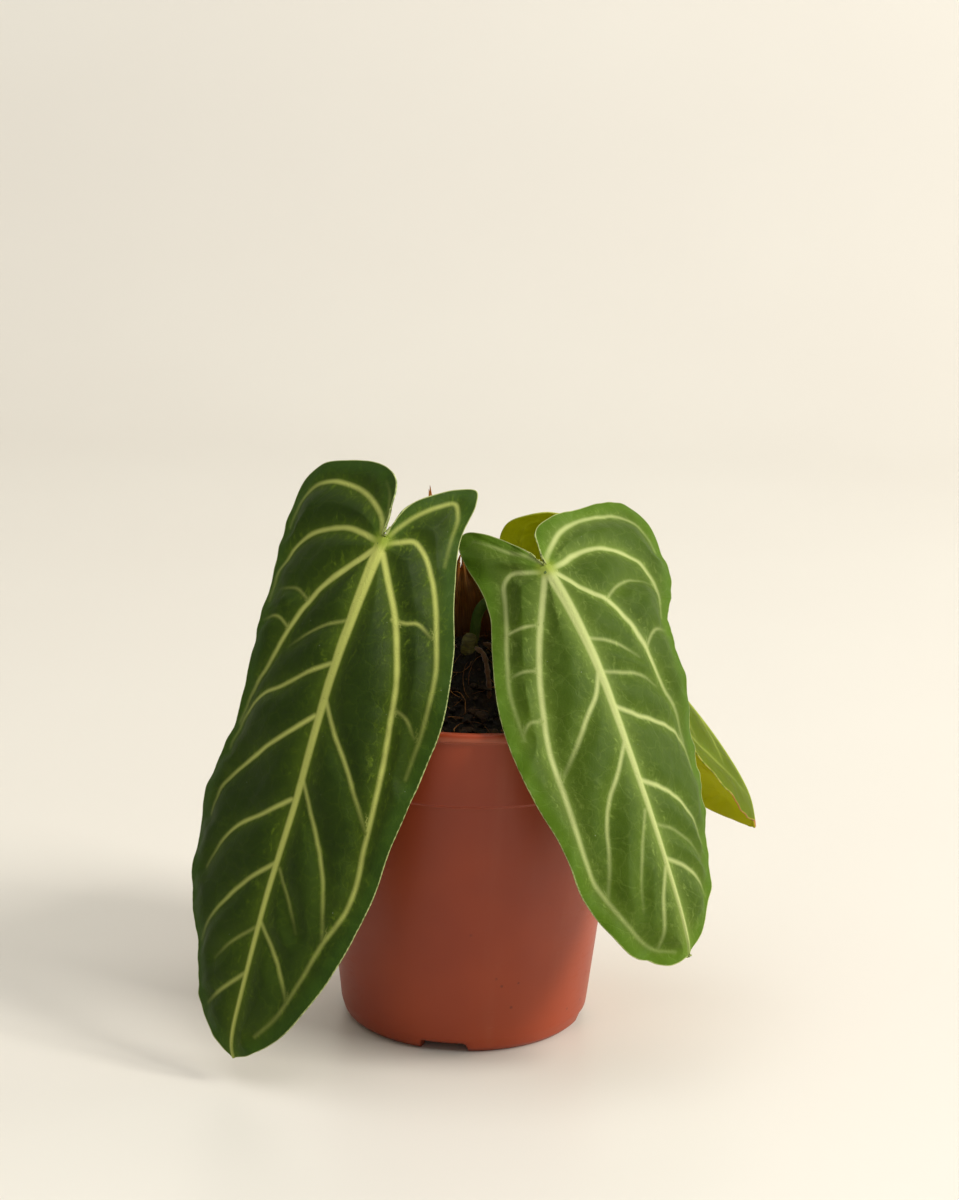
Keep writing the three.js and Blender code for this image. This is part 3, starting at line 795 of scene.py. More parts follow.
class AnthuriumLeafLook(bpy.types.PropertyGroup):
    """Colours and finish of a leaf."""

    lamina: colour_property("Blade", "Upper side between the veins", 48, 66, 3)
    lamina_deep: colour_property("Blade, deep", "Upper side where it is darkest", 32, 50, 1)
    hollow: colour_property("Hollows", "Darkest middle of each cell between veins", 22, 38, 0)
    lamina_light: colour_property("Blade, light", "Pale mottling of the upper side", 66, 88, 14)
    halo: colour_property("Halo", "Soft pale band beside the veins", 112, 134, 30)
    vein: colour_property("Vein", "Veins of the upper side", 204, 210, 112)
    vein_deep: colour_property("Vein, deep", "Shaded streaks in the midrib", 184, 190, 84)
    junction: colour_property("Junction", "Spot where the stalk meets the blade", 150, 170, 40)
    margin: colour_property("Margin", "Thin line along the edge", 190, 198, 130)
    margin_green: colour_property("Margin, green", "Band inside the edge", 70, 110, 30)
    under: colour_property("Underside", "Underside between the veins", 120, 140, 40)
    under_deep: colour_property("Underside, deep", "Underside where it is darkest", 98, 118, 26)
    under_vein: colour_property("Underside vein", "Raised veins of the underside", 160, 170, 80)
    through: colour_property("Through light", "Light that comes through the blade", 140, 175, 20)
    dry: colour_property("Dried margin", "Browned edge at the tip", 176, 112, 40)
    halo_strength: share_property("Halo strength", "How strong the pale bands are", 0.42)
    vein_strength: share_property("Vein strength", "How pale the drawn veins are", 0.9)
    net_strength: share_property("Net strength", "How strong the fine net of veins is", 0.07)
    streaks: share_property("Streaks", "How strong the pale streaks beside the veins are", 0.6)
    margin_band: share_property("Margin band", "How strong the green band inside the edge is", 0.25)
    sheen: share_property("Sheen", "Velvet sheen", 0.05)
    translucency: share_property("Translucency", "Share of light let through", 0.22)
    specks: share_property("Specks", "Dark specks beside the midrib", 0.0)
    dry_from: bpy.props.FloatProperty(
        name="Dried from", description="Millimetres along the leaf where it browns", default=500)


class AnthuriumPotLook(bpy.types.PropertyGroup):
    """Colours of the nursery pot."""

    plastic: colour_property("Plastic", "Terracotta-coloured plastic", 160, 64, 26)
    plastic_deep: colour_property("Plastic, deep", "Darker clouds in the plastic", 142, 52, 20)
    dust: colour_property("Dust", "Pale dust and scuffs", 196, 140, 112)


class AnthuriumCrownLook(bpy.types.PropertyGroup):
    """Colours of the crown, the roots and the potting mix."""

    petiole: colour_property("Stalk", "Leaf stalk", 78, 104, 34)
    petiole_foot: colour_property("Stalk foot", "Foot of the leaf stalk", 96, 70, 34)
    sheath: colour_property("Sheath", "Papery sheath leaf", 150, 98, 30)
    sheath_deep: colour_property("Sheath, deep", "Shaded ribs of the sheath leaf", 78, 50, 14)
    rhizome: colour_property("Rhizome", "Short thick stem", 96, 88, 34)
    root: colour_property("Root", "Thick roots", 92, 60, 26)
    mix_dark: colour_property("Potting mix", "Damp dark mix", 22, 15, 8)
    mix_light: colour_property("Potting mix, light", "Dry crumbs in the mix", 62, 42, 24)


class AnthuriumSettings(bpy.types.PropertyGroup):
    """Sizes and finishes of the potted anthurium."""

    left: bpy.props.PointerProperty(type=AnthuriumLeafLook, name="Left leaf")
    right: bpy.props.PointerProperty(type=AnthuriumLeafLook, name="Right leaf")
    rear: bpy.props.PointerProperty(type=AnthuriumLeafLook, name="Rear leaf")
    pot: bpy.props.PointerProperty(type=AnthuriumPotLook, name="Pot")
    crown: bpy.props.PointerProperty(type=AnthuriumCrownLook, name="Crown and mix")
    blade_thickness: bpy.props.FloatProperty(
        name="Blade thickness", description="Thickness of a blade at its midrib", subtype="DISTANCE",
        unit="LENGTH", min=0, default=0.0016)
    chip_count: count_property("Crumbs", "Crumbs of bark on the mix", 420)
    fibre_count: count_property("Fibres", "Fine roots on the mix", 170)


# How each leaf differs from the looks above
LEAF_CHANGES = {
    # The right leaf's lighter blade, halo and vein colours are partly its own paler green and partly painted
    # light, for its side that faces the key lamp.
    "right": dict(
        lamina=srgb(74, 98, 10), lamina_deep=srgb(60, 84, 6), hollow=srgb(56, 80, 5),
        lamina_light=srgb(98, 120, 34), halo=srgb(142, 164, 76), vein=srgb(198, 208, 134),
        vein_deep=srgb(182, 194, 112), junction=srgb(170, 180, 60), margin_green=srgb(98, 140, 14),
        halo_strength=0.62, net_strength=0.10, streaks=0.7, sheen=0.08, margin_band=0.35),
    # The rear leaf's bright yellow underside colours are partly its own and partly painted light shining
    # through the blade from behind.
    "rear": dict(
        lamina=srgb(78, 112, 24), lamina_deep=srgb(58, 92, 14), hollow=srgb(54, 84, 12),
        lamina_light=srgb(98, 128, 40), halo=srgb(132, 160, 60), vein=srgb(186, 200, 96),
        vein_deep=srgb(170, 186, 76), margin=srgb(190, 190, 80), margin_green=srgb(120, 148, 30),
        under=srgb(172, 176, 8), under_deep=srgb(140, 150, 4), under_vein=srgb(165, 168, 40),
        through=srgb(214, 218, 6), halo_strength=0.4, translucency=0.5, dry_from=104),
    "left": dict(specks=0.8),
}


class Making:
    """What every operator here shares."""

    bl_options = {"REGISTER", "UNDO"}

    @property
    def settings(self):
        return bpy.context.scene.anthurium

    def crown_paint(self, name):
        """The crown's colours, a new material and the places on its surface."""
        paint = Paint(name)
        return self.settings.crown, paint, paint.place()


class ANTHURIUM_OT_stage(Making, bpy.types.Operator):
    """Adds the camera, the floor that sweeps up into a backdrop, and the lights"""

    bl_idname = "anthurium.stage"
    bl_label = "Stage and Camera"

    def execute(self, context):
        self.add_camera(context)
        self.add_floor(context)
        self.add_lights(context)
        context.scene.view_settings.view_transform = "Standard"
        return {"FINISHED"}

    def add_camera(self, context):
        pitch, yaw, roll = (math.radians(a) for a in (CAMERA_PITCH, CAMERA_YAW, CAMERA_ROLL))
        forward = Vector((math.sin(yaw) * math.cos(pitch), math.cos(yaw) * math.cos(pitch), -math.sin(pitch)))
        right = forward.cross(Vector((0, 0, 1))).normalized()
        up = right.cross(forward)
        turned_right = right * math.cos(roll) + up * math.sin(roll)
        turned_up = up * math.cos(roll) - right * math.sin(roll)
        lens = bpy.data.cameras.new("camera")
        lens.lens = CAMERA_LENS
        lens.clip_end = 50
        camera = bpy.data.objects.new("camera", lens)
        context.scene.collection.objects.link(camera)
        place = Matrix.Translation(Vector(CAMERA_PLACE) * MM + POT_AXIS)
        camera.matrix_world = place @ Matrix((turned_right, turned_up, -forward)).transposed().to_4x4()
        context.scene.camera = camera

    def add_floor(self, context):
        # In metres: half the width, where the floor starts and bends up, the bend's radius and the top
        width, front, back, bend, top = 3.0, -2.2, 1.1, 0.7, 2.6
        profile = [(front, 0.0), (back, 0.0)]
        steps = 24
        for i in range(1, steps + 1):
            turn = math.pi / 2 * i / steps
            profile.append((back + bend * math.sin(turn), bend * (1 - math.cos(turn))))
        profile.append((back + bend, top))
        shape = bmesh.new()
        line = [shape.verts.new((-width, y, z)) for y, z in profile]
        edges = [shape.edges.new(pair) for pair in zip(line, line[1:])]
        made = bmesh.ops.extrude_edge_only(shape, edges=edges)["geom"]
        moved = [v for v in made if isinstance(v, bmesh.types.BMVert)]
        bmesh.ops.translate(shape, verts=moved, vec=(2 * width, 0, 0))
        bmesh.ops.recalc_face_normals(shape, faces=shape.faces)
        if sum(face.normal.z for face in shape.faces) < 0:
            bmesh.ops.reverse_faces(shape, faces=shape.faces)
        floor = bpy.data.objects.new("sweep", finish_mesh("sweep", shape))
        context.scene.collection.objects.link(floor)
        paint = Paint("warm_paper")
        place = paint.place()
        cloud = paint.noise(place, 1.4, 3)
        grain = paint.noise(place, 260, 2)
        paint.colour = paint.mix(cloud.step(0.3, 0.7), srgb(222, 218, 209), srgb(225, 222, 213))
        floor.data.materials.append(paint.finish(
            roughness=0.34 + 0.06 * cloud, normal=paint.bump(grain * 0.02, 0.3),
            specular_ior_level=0.35))

    def add_lights(self, context):
        # Name, place and size in metres, power in watts, and colour
        lamps = [
            ("key", (2.7, -1.3, 2.3), 1.0, 116.0, (1.0, 0.96, 0.90)),
            ("side", (2.2, 0.5, 0.9), 1.0, 16.0, (1.0, 0.95, 0.88)),
            ("backdrop", (0.0, -0.5, 2.4), 2.6, 22.0, (1.0, 0.99, 0.97)),
        ]
        aim = Vector((0, 0, 0.11))
        for name, place, size, power, colour in lamps:
            light = bpy.data.lights.new(name, "AREA")
            light.shape = "SQUARE"
            light.size = size
            light.energy = power
            light.color = colour
            lamp = bpy.data.objects.new(name, light)
            context.scene.collection.objects.link(lamp)
            facing = (Vector(place) - aim).to_track_quat("Z", "Y").to_matrix().to_4x4()
            lamp.matrix_world = Matrix.Translation(place) @ facing
        world = bpy.data.worlds.new("soft_room")
        context.scene.world = world
        world.use_nodes = True
        backdrop = world.node_tree.nodes["Background"]
        backdrop.inputs["Color"].default_value = (1.0, 0.975, 0.93, 1)
        backdrop.inputs["Strength"].default_value = 0.40


class ANTHURIUM_OT_pot(Making, bpy.types.Operator):
    """Makes the tapering plastic pot with its stepped band, rolled lip, foot notches and drain holes"""

    bl_idname = "anthurium.pot"
    bl_label = "Nursery Pot"

    STEPS = 240

    def execute(self, context):
        outside = [
            (0, PLATE_UNDERSIDE),
            (FOOT_INNER_RADIUS - 0.6, PLATE_UNDERSIDE),
            (FOOT_INNER_RADIUS, 0),
            (FOOT_RADIUS, 0),
            (FOOT_RADIUS + 2.4, 2),
            (WALL_BASE_RADIUS, WALL_BASE_HEIGHT),
            (WALL_TOP_RADIUS, BAND_HEIGHT - 0.5),
            (BAND_RADIUS, BAND_HEIGHT),
            (RIM_RADIUS - 1.4, POT_HEIGHT - LIP_HEIGHT - 0.5),
            (RIM_RADIUS, POT_HEIGHT - LIP_HEIGHT),
            (RIM_RADIUS, POT_HEIGHT),
            (RIM_RADIUS - 3.2, POT_HEIGHT),
            (BAND_RADIUS - WALL, BAND_HEIGHT),
            (WALL_TOP_RADIUS - WALL, BAND_HEIGHT - 1.5),
            (WALL_BASE_RADIUS - WALL, PLATE_TOP),
            (0, PLATE_TOP),
        ]
        shape = turned(rounded(outside, 0.9), self.STEPS)
        self.cut_notches(shape)
        bring_to_frame(shape)
        mesh = self.drilled(finish_mesh("pot_shell", shape))
        add_object("nursery_pot", mesh, [self.plastic()], ["pot"])
        return {"FINISHED"}

    def cut_notches(self, shape):
        """Raises the foot ring over four short arcs."""
        reach = math.degrees(NOTCH_WIDTH / 2 / FOOT_RADIUS)
        for vert in shape.verts:
            turn = math.degrees(math.atan2(vert.co.x, -vert.co.y)) - NOTCH_TURN
            aside = abs((turn + 45) % 90 - 45)
            inside = 1 - smooth(aside, reach - 1.2, reach)
            if vert.co.z < NOTCH_HEIGHT:
                vert.co.z += (NOTCH_HEIGHT - vert.co.z) * inside

    def drilled(self, mesh):
        """Opens the round drain holes through the plate."""
        drills = bmesh.new()
        for hole in range(DRAIN_COUNT):
            turn = 2 * math.pi * hole / DRAIN_COUNT
            around = Vector((math.cos(turn), math.sin(turn), 0)) * DRAIN_CIRCLE
            centre = around + Vector((0, 0, PLATE_TOP - 1))
            bmesh.ops.create_cone(drills, cap_ends=True, segments=28, radius1=DRAIN_RADIUS * MM,
                                  radius2=DRAIN_RADIUS * MM, depth=8 * MM,
                                  matrix=Matrix.Translation(centre * MM + POT_AXIS))
        shell = bpy.data.objects.new("pot_shell", mesh)
        drill = bpy.data.objects.new("drills", finish_mesh("drills", drills))
        for piece in (shell, drill):
            bpy.context.scene.collection.objects.link(piece)
        cut = shell.modifiers.new("cut", "BOOLEAN")
        cut.operation = "DIFFERENCE"
        cut.solver = "EXACT"
        cut.object = drill
        graph = bpy.context.evaluated_depsgraph_get()
        found = bpy.data.meshes.new_from_object(shell.evaluated_get(graph))
        for piece in (shell, drill):
            bpy.data.objects.remove(piece)
        if len(found.polygons) <= len(mesh.polygons):
            raise RuntimeError("The drain holes were not cut")
        found.name = "nursery_pot"
        return found

    def plastic(self):
        look = self.settings.pot
        paint = Paint("terracotta_plastic")
        place = paint.place()
        _, _, height = paint.split(place)
        cloud = paint.noise(place, 14, 3)
        flow = paint.noise(paint.scaled(place, (60, 60, 5)), 1, 4, 0.6)
        scuff = paint.noise(paint.scaled(place, (160, 160, 900)), 1, 3, 0.65)
        specks = paint.cells(place, 210).step(0.16, 0.08)
        rare = paint.noise(place, 40, 1).step(0.6, 0.66)
        paint.colour = paint.mix(cloud.step(0.3, 0.7) * 0.8, look.plastic_deep, look.plastic)
        paint.coat(flow.step(0.5, 0.8) * 0.07, look.dust)
        paint.coat(scuff.step(0.62, 0.8) * cloud.step(0.4, 0.7) * 0.10, look.dust)
        paint.coat(specks * rare * 0.5, srgb(70, 30, 20))
        near_lip = height.step(0.1195, 0.1215) * height.step(0.1232, 0.1222)
        paint.coat(near_lip * 0.15, look.dust)
        rough = 0.34 + 0.16 * cloud + 0.1 * scuff.step(0.5, 0.8)
        bumps = paint.noise(place, 900, 2) * 0.012 + flow * 0.05
        return paint.finish(roughness=rough, normal=paint.bump(bumps, 0.7),
                            specular_ior_level=0.38)


def mound_height(radius):
    """The height of the mix at a distance from the pot's axis."""
    radii, heights = zip(*reversed(MOUND))
    return np.interp(radius, radii, heights)


class ANTHURIUM_OT_mix(Making, bpy.types.Operator):
    """Makes the mounded potting mix, with its crumbs of bark and fine roots"""

    bl_idname = "anthurium.potting_mix"
    bl_label = "Potting Mix"

    def execute(self, context):
        self.add_mound()
        self.add_crumbs()
        self.add_fibres()
        return {"FINISHED"}

    def add_mound(self):
        base = WALL_BASE_RADIUS - WALL - MIX_GAP
        top = WALL_TOP_RADIUS - WALL - MIX_GAP
        floor = PLATE_TOP + MIX_GAP
        profile = [(0, floor), (base - 1.5, floor), (base, PLATE_TOP + 1.5), (top, 95.6),
                   (BAND_RADIUS - WALL - MIX_GAP, 97.2), (56.2, 115.6)]
        profile += [tuple(p) for p in even_points(spline(MOUND, 10, 0.5), 0.55)]
        mesh = finish_mesh("potting_mix_mound", turned(profile, 240))
        places = vertex_places(mesh)
        radius = np.hypot(places[:, 0], places[:, 1])
        top_side = smooth(places[:, 2], 115.8, 117) * (1 - smooth(radius, 54.5, 56))
        bumps = np.array([
            1.5 * noise.fractal(Vector(p) / 6.5, 0.9, 2.0, 5) + 1.1 * abs(noise.noise(Vector(p) / 3.1))
            for p in places
        ])
        places[:, 2] += top_side * (bumps - 0.4)
        move_vertices(mesh, to_frame(places))
        add_object("potting_mix_mound", mesh, [self.soil()], ["potting_mix"])

    def add_crumbs(self):
        rng = random.Random(CRUMB_SEED)
        shape = bmesh.new()
        for _ in range(self.settings.chip_count):
            radius = 54 * math.sqrt(rng.random())
            turn = rng.uniform(0, 2 * math.pi)
            size = rng.choice([0.7, 0.9, 1.2, 1.6, 2.3])
            height = mound_height(radius) + 0.25 * size
            place = Vector((radius * math.cos(turn), radius * math.sin(turn), height))
            spin = Matrix.Rotation(rng.uniform(0, 6.28), 4, "Z")
            spin = spin @ Matrix.Rotation(rng.uniform(-0.7, 0.7), 4, "X")
            stretch = Matrix.Diagonal((size * rng.uniform(0.9, 1.9), size, size * rng.uniform(0.35, 0.7), 1))
            made = bmesh.ops.create_icosphere(shape, subdivisions=1, radius=1,
                                              matrix=Matrix.Translation(place) @ spin @ stretch)
            for vert in made["verts"]:
                vert.co += Vector([rng.uniform(-0.22, 0.22) * size for _ in range(3)])
        bring_to_frame(shape)
        add_object("bark_crumbs", finish_mesh("bark_crumbs", shape, False), [self.bark()], [])

    def add_fibres(self):
        rng = random.Random(FIBRE_SEED)
        runs = []
        for _ in range(self.settings.fibre_count):
            radius = 53 * math.sqrt(rng.random())
            turn = rng.uniform(0, 2 * math.pi)
            place = Vector((radius * math.cos(turn), radius * math.sin(turn)))
            way = rng.uniform(0, 2 * math.pi)
            bend = rng.uniform(-0.35, 0.35)
            hump = rng.uniform(0.2, 2.2)
            count = rng.randint(6, 12)
            points = []
            for i in range(count):
                reach = min(place.length, 55)
                place = place.normalized() * reach
                lift = 0.4 + hump * math.sin(math.pi * i / (count - 1))
                points.append((place.x, place.y, mound_height(reach) + lift))
                way += bend + rng.uniform(-0.25, 0.25)
                place = place + Vector((math.cos(way), math.sin(way))) * rng.uniform(0.9, 1.5)
            thick = rng.uniform(0.10, 0.26)
            runs.append((points, np.linspace(thick, 0.35 * thick, count)))
        add_object("fine_roots", tubes("fine_roots", runs, 0), [self.fibre()], [])

    def soil(self):
        look, paint, place = self.crown_paint("damp_mix")
        lumps = paint.noise(place, 170, 5, 0.7)
        crumbs = paint.cells(place, 420)
        flecks = paint.noise(place, 620, 2).step(0.62, 0.72)
        paint.colour = paint.mix(lumps.step(0.45, 0.8) * 0.7, look.mix_dark, look.mix_light)
        paint.coat(flecks * 0.35, srgb(110, 74, 40))
        height = lumps * 0.9 + crumbs * 0.8
        return paint.finish(roughness=0.8 + 0.15 * lumps, normal=paint.bump(height, 1.0),
                            specular_ior_level=0.3)

    def bark(self):
        look, paint, place = self.crown_paint("bark_crumb")
        tone = paint.noise(place, 120, 2)
        grain = paint.noise(paint.scaled(place, (500, 500, 1500)), 1, 4, 0.7)
        paint.colour = paint.mix(tone.step(0.42, 0.7), look.mix_dark, srgb(64, 42, 24))
        paint.coat(grain.step(0.5, 0.8) * 0.5, srgb(96, 62, 34))
        return paint.finish(roughness=0.75 + 0.2 * grain, normal=paint.bump(grain * 0.4),
                            specular_ior_level=0.3)

    def fibre(self):
        paint = Paint("fine_root")
        tone = paint.noise(paint.place(), 90, 2)
        grain = paint.noise(paint.place(), 900, 2)
        paint.colour = paint.mix(tone.step(0.35, 0.65), srgb(78, 46, 20), srgb(170, 112, 52))
        return paint.finish(roughness=0.65 + 0.2 * grain, normal=paint.bump(grain * 0.1),
                            specular_ior_level=0.35)


RHIZOME_PLACE = (-1, -9.5)
RHIZOME_RADIUS = 3.2
RHIZOME_TOP = 147.5
RHIZOME_FOOT = 122
ROOTS = {
    "aerial_root_front": [(1.2, -13.6, 143), (4, -16, 141.5), (6, -20, 134), (7, -23, 119)],
    "aerial_root_right": [(3.9, -9.7, 143.5), (8, -10, 142.5), (13, -10.5, 137), (17, -10.5, 120)],
    "aerial_root_left": [(-5.8, -10.5, 143), (-10, -12, 140), (-14, -13, 132), (-16, -14, 118)],
}


class ANTHURIUM_OT_rhizome(Making, bpy.types.Operator):
    """Makes the short knobbly stem and the thick roots that leave it"""

    bl_idname = "anthurium.rhizome"
    bl_label = "Rhizome and Roots"

    def execute(self, context):
        self.add_rhizome()
        for name, path in ROOTS.items():
            self.add_root(name, path)
        return {"FINISHED"}

    def add_rhizome(self):
        profile = [(0, RHIZOME_FOOT)]
        count = 60
        for i in range(count + 1):
            t = i / count
            ring = 0.35 * abs(math.sin(t * math.pi * 6)) ** 0.6
            dome = math.sqrt(max(0.0, 1 - max(0.0, (t - 0.8) / 0.2) ** 2))
            radius = (RHIZOME_RADIUS - 0.3 + ring) * dome
            profile.append((radius, RHIZOME_FOOT + t * (RHIZOME_TOP - RHIZOME_FOOT)))
        profile[-1] = (0, RHIZOME_TOP)
        mesh = finish_mesh("stem_knob", turned(profile, 64))
        places = vertex_places(mesh)
        bumps = np.array([noise.noise(Vector(p) / 2.2) for p in places])
        places[:, :2] *= (1 + 0.09 * bumps)[:, None]
        places[:, 2] += 0.3 * bumps
        places += (*RHIZOME_PLACE, 0)
        move_vertices(mesh, to_frame(places))
        add_object("stem_knob", mesh, [self.bark_green()], ["rhizome"])

    def add_root(self, name, path):
        line = even_points(spline(path, 12, 0.5), 0.45)
        t = np.linspace(0, 1, len(line))
        radii = 0.9 + 0.12 * np.sin(t * 37) + 0.08 * np.sin(t * 83 + 1)
        radii *= 0.55 + 0.45 * smooth(t, 0, 0.05)
        piece = "thick_" + name
        add_object(piece, tubes(piece, [(line, radii)], 5), [self.root_skin(name)], [name])

    def bark_green(self):
        look, paint, place = self.crown_paint("stem_skin")
        rings = paint.noise(paint.scaled(place, (150, 150, 900)), 1, 4, 0.6)
        cork = paint.noise(place, 420, 4, 0.7)
        paint.colour = paint.mix(rings.step(0.4, 0.7), look.rhizome, srgb(62, 52, 24))
        paint.coat(cork.step(0.55, 0.8) * 0.5, srgb(140, 116, 62))
        return paint.finish(roughness=0.5 + 0.3 * cork, normal=paint.bump(rings * 0.5 + cork * 0.2),
                            specular_ior_level=0.4)

    def root_skin(self, name):
        look, paint, place = self.crown_paint(name + "_skin")
        felt = paint.noise(place, 1500, 3, 0.7)
        tone = paint.noise(place, 140, 3)
        paint.colour = paint.mix(tone.step(0.35, 0.7), look.root, srgb(96, 52, 22))
        paint.coat(felt.step(0.5, 0.8) * 0.4, srgb(136, 98, 54))
        return paint.finish(roughness=0.75 + 0.15 * felt, normal=paint.bump(felt * 0.25),
                            sheen_weight=0.3, sheen_roughness=0.5)


PETIOLE_WIDTH = 4.2
PETIOLE_JOIN = 3
PETIOLES = {
    "left": (LEFT_LEAF, [(-7.5, -4.5, 126), (-9, -5, 145), (-14, -10, 161), (-21, -17, 174)]),
    "right": (RIGHT_LEAF, [(1.5, -3, 126), (0.8, -3.2, 146), (3.6, -6.5, 157)]),
    "rear": (REAR_LEAF, [(9, 7, 126), (9.5, 9, 142), (13, 13, 151)]),
}


class ANTHURIUM_OT_petioles(Making, bpy.types.Operator):
    """Makes the leaf stalks, each swollen where it joins its blade"""

    bl_idname = "anthurium.petioles"
    bl_label = "Leaf Stalks"

    def execute(self, context):
        for name, (leaf, path) in PETIOLES.items():
            blade = Blade(leaf)
            join = np.array([float(PETIOLE_JOIN)])
            ends = [blade.bend(0 * join, join, 0 * join - lift)[0] for lift in (8.2, 2.2, 0.2)]
            line = even_points(spline([path[0][:2] + (path[0][2] - 4,), *path[1:], *ends], 16, 0.5), 0.6)
            run = lengths_along(line)
            left = run[-1] - run
            radii = PETIOLE_WIDTH / 2 * (1 - 0.1 * smooth(run, 5, 25))
            radii += 0.22 * np.exp(-((left - 3.5) / 2.6) ** 2)
            radii *= 1 - 0.45 * (1 - smooth(left, 0, 1.2))
            stalk = "stalk_" + name
            mesh = tubes(stalk, [(line, radii)], 7)
            add_object(stalk, mesh, [self.skin(stalk)], ["petiole_" + name])
        return {"FINISHED"}

    def skin(self, name):
        look, paint, place = self.crown_paint(name + "_skin")
        _, _, height = paint.split(place)
        fibres = paint.noise(paint.scaled(place, (900, 900, 60)), 1, 3, 0.6)
        patches = paint.noise(place, 120, 3)
        paint.colour = paint.mix(patches.step(0.35, 0.7), look.petiole, srgb(60, 84, 26))
        paint.coat(fibres.step(0.5, 0.75) * 0.35, srgb(120, 134, 62))
        foot = (height * 1000 + patches * 12).step(156, 142)
        paint.coat(foot * 0.75, look.petiole_foot)
        return paint.finish(roughness=0.42 + 0.2 * patches, normal=paint.bump(fibres * 0.12),
                            specular_ior_level=0.45)


SHEATHS = {
    "cataphyll_front": dict(
        centre=(-0.5, -12), turn=180, half_angle=44, radius=14, flare=0, foot=124, top=172.5, narrowing=2.4,
        lean=(-4, 0)),
    "cataphyll_left": dict(
        centre=(0, 0), turn=-105, half_angle=34, radius=14, flare=2, foot=124, top=195, narrowing=1.4,
        lean=(-1, 0)),
    "cataphyll_rear": dict(
        centre=(0, 0), turn=-175, half_angle=32, radius=13, flare=1, foot=124, top=160, narrowing=1.4,
        lean=(-1, 1)),
}


class ANTHURIUM_OT_cataphylls(Making, bpy.types.Operator):
    """Makes the papery sheath leaves round the crown, with frayed edges and loose fibres"""

    bl_idname = "anthurium.cataphylls"
    bl_label = "Sheath Leaves"

    THICKNESS = 0.28
    FRAY_COUNT = 9

    def execute(self, context):
        for seed, (name, sheath) in enumerate(SHEATHS.items()):
            skin = self.paper("papery_" + name)
            self.add_sheath(name, sheath, seed, skin)
            self.add_frays(name, sheath, seed, skin)
        return {"FINISHED"}

    @staticmethod
    def wrap(sheath, aside, rise, lift):
        """A place on the sheath: aside from -1 to 1 and rise from 0 to 1."""
        taper = 1 - 0.9 * rise ** sheath["narrowing"]
        angle = np.radians(sheath["turn"] + aside * sheath["half_angle"] * taper)
        radius = sheath["radius"] + sheath["flare"] * rise ** 2 + lift
        return np.stack([
            sheath["centre"][0] + radius * np.sin(angle) + sheath["lean"][0] * rise,
            sheath["centre"][1] - radius * np.cos(angle) + sheath["lean"][1] * rise,
            sheath["foot"] + rise * (sheath["top"] - sheath["foot"]),
        ], -1)

    def add_sheath(self, name, sheath, seed, skin):
        shape = bmesh.new()
        bmesh.ops.create_grid(shape, x_segments=48, y_segments=110, size=1)
        mesh = finish_mesh("papery_" + name, shape)
        grid = vertex_places(mesh)
        aside = grid[:, 0]
        rise = (grid[:, 1] + 1) / 2
        torn = 0.10 * np.sin(rise * 61 + 2 * seed + 3 * np.sign(aside)) + 0.07 * np.sin(rise * 143 + seed)
        torn = aside * (1 + torn * smooth(rise, 0.72, 0.95) * smooth(np.abs(aside), 0.5, 1))
        torn *= 1 + 0.22 * smooth(rise, 0.25, 0.5) * (1 - smooth(rise, 0.72, 0.86))
        lift = 0.35 * np.sin(aside * 9 + seed) * smooth(rise, 0.1, 0.5)
        lift += 0.5 * waves(aside * 8, rise * 40, 9, seed)
        lift += 0.8 * smooth(np.abs(aside), 0.6, 1) * smooth(rise, 0.4, 1)
        fall = (0.05 * np.sin(aside * 7 + seed) + 0.04 * np.abs(np.sin(aside * 19))) * smooth(rise, 0.8, 1)
        move_vertices(mesh, to_frame(self.wrap(sheath, torn, rise - fall, lift)))
        give_attribute(mesh, "sheath_place", np.column_stack([aside * 6, rise * 40, 0 * rise]))
        piece = add_object("papery_" + name, mesh, [skin], [name])
        paper = piece.modifiers.new("paper", "SOLIDIFY")
        paper.thickness = self.THICKNESS * MM
        paper.offset = 0

    def add_frays(self, name, sheath, seed, skin):
        rng = random.Random(FRAY_SEED + seed)
        runs = []
        for _ in range(self.FRAY_COUNT):
            side = rng.choice([-1, 1])
            start = rng.uniform(0.55, 0.93)
            length = rng.uniform(0.06, 0.17)
            out = rng.uniform(0.3, 1.6)
            t = np.linspace(0, 1, 9)
            rise = np.minimum(start + length * t, 1.0)
            aside = side * (0.9 + 0.5 * t * rng.uniform(0.2, 1))
            points = self.wrap(sheath, aside, rise, out * t ** 1.5)
            thick = rng.uniform(0.09, 0.17)
            runs.append((points, thick * (1 - 0.75 * t)))
        frays = "frays_" + name
        mesh = tubes(frays, runs, 1)
        places = vertex_places(mesh)
        give_attribute(mesh, "sheath_place", places[:, (0, 2, 1)] * 1000)
        add_object(frays, mesh, [skin], [])

    def paper(self, name):
        look = self.settings.crown
        paint = Paint(name + "_skin")
        place = paint.place("sheath_place")
        _, rise, _ = paint.split(place)
        ribs = paint.noise(paint.scaled(place, (3.4, 0.10, 1)), 1, 4, 0.6)
        blotch = paint.noise(place, 0.22, 3)
        paint.colour = paint.mix(ribs.step(0.35, 0.7), look.sheath_deep, look.sheath)
        paint.coat(blotch.step(0.5, 0.75) * 0.6, srgb(60, 32, 14))
        paint.coat(rise.step(31, 14) * 0.75, srgb(44, 29, 9))
        paint.coat(rise.step(33, 39) * 0.6, srgb(204, 126, 40))
        return paint.finish(
            translucency=0.2, through=srgb(200, 128, 34), roughness=0.6 + 0.2 * ribs,
            normal=paint.bump(ribs * 0.35), specular_ior_level=0.35)


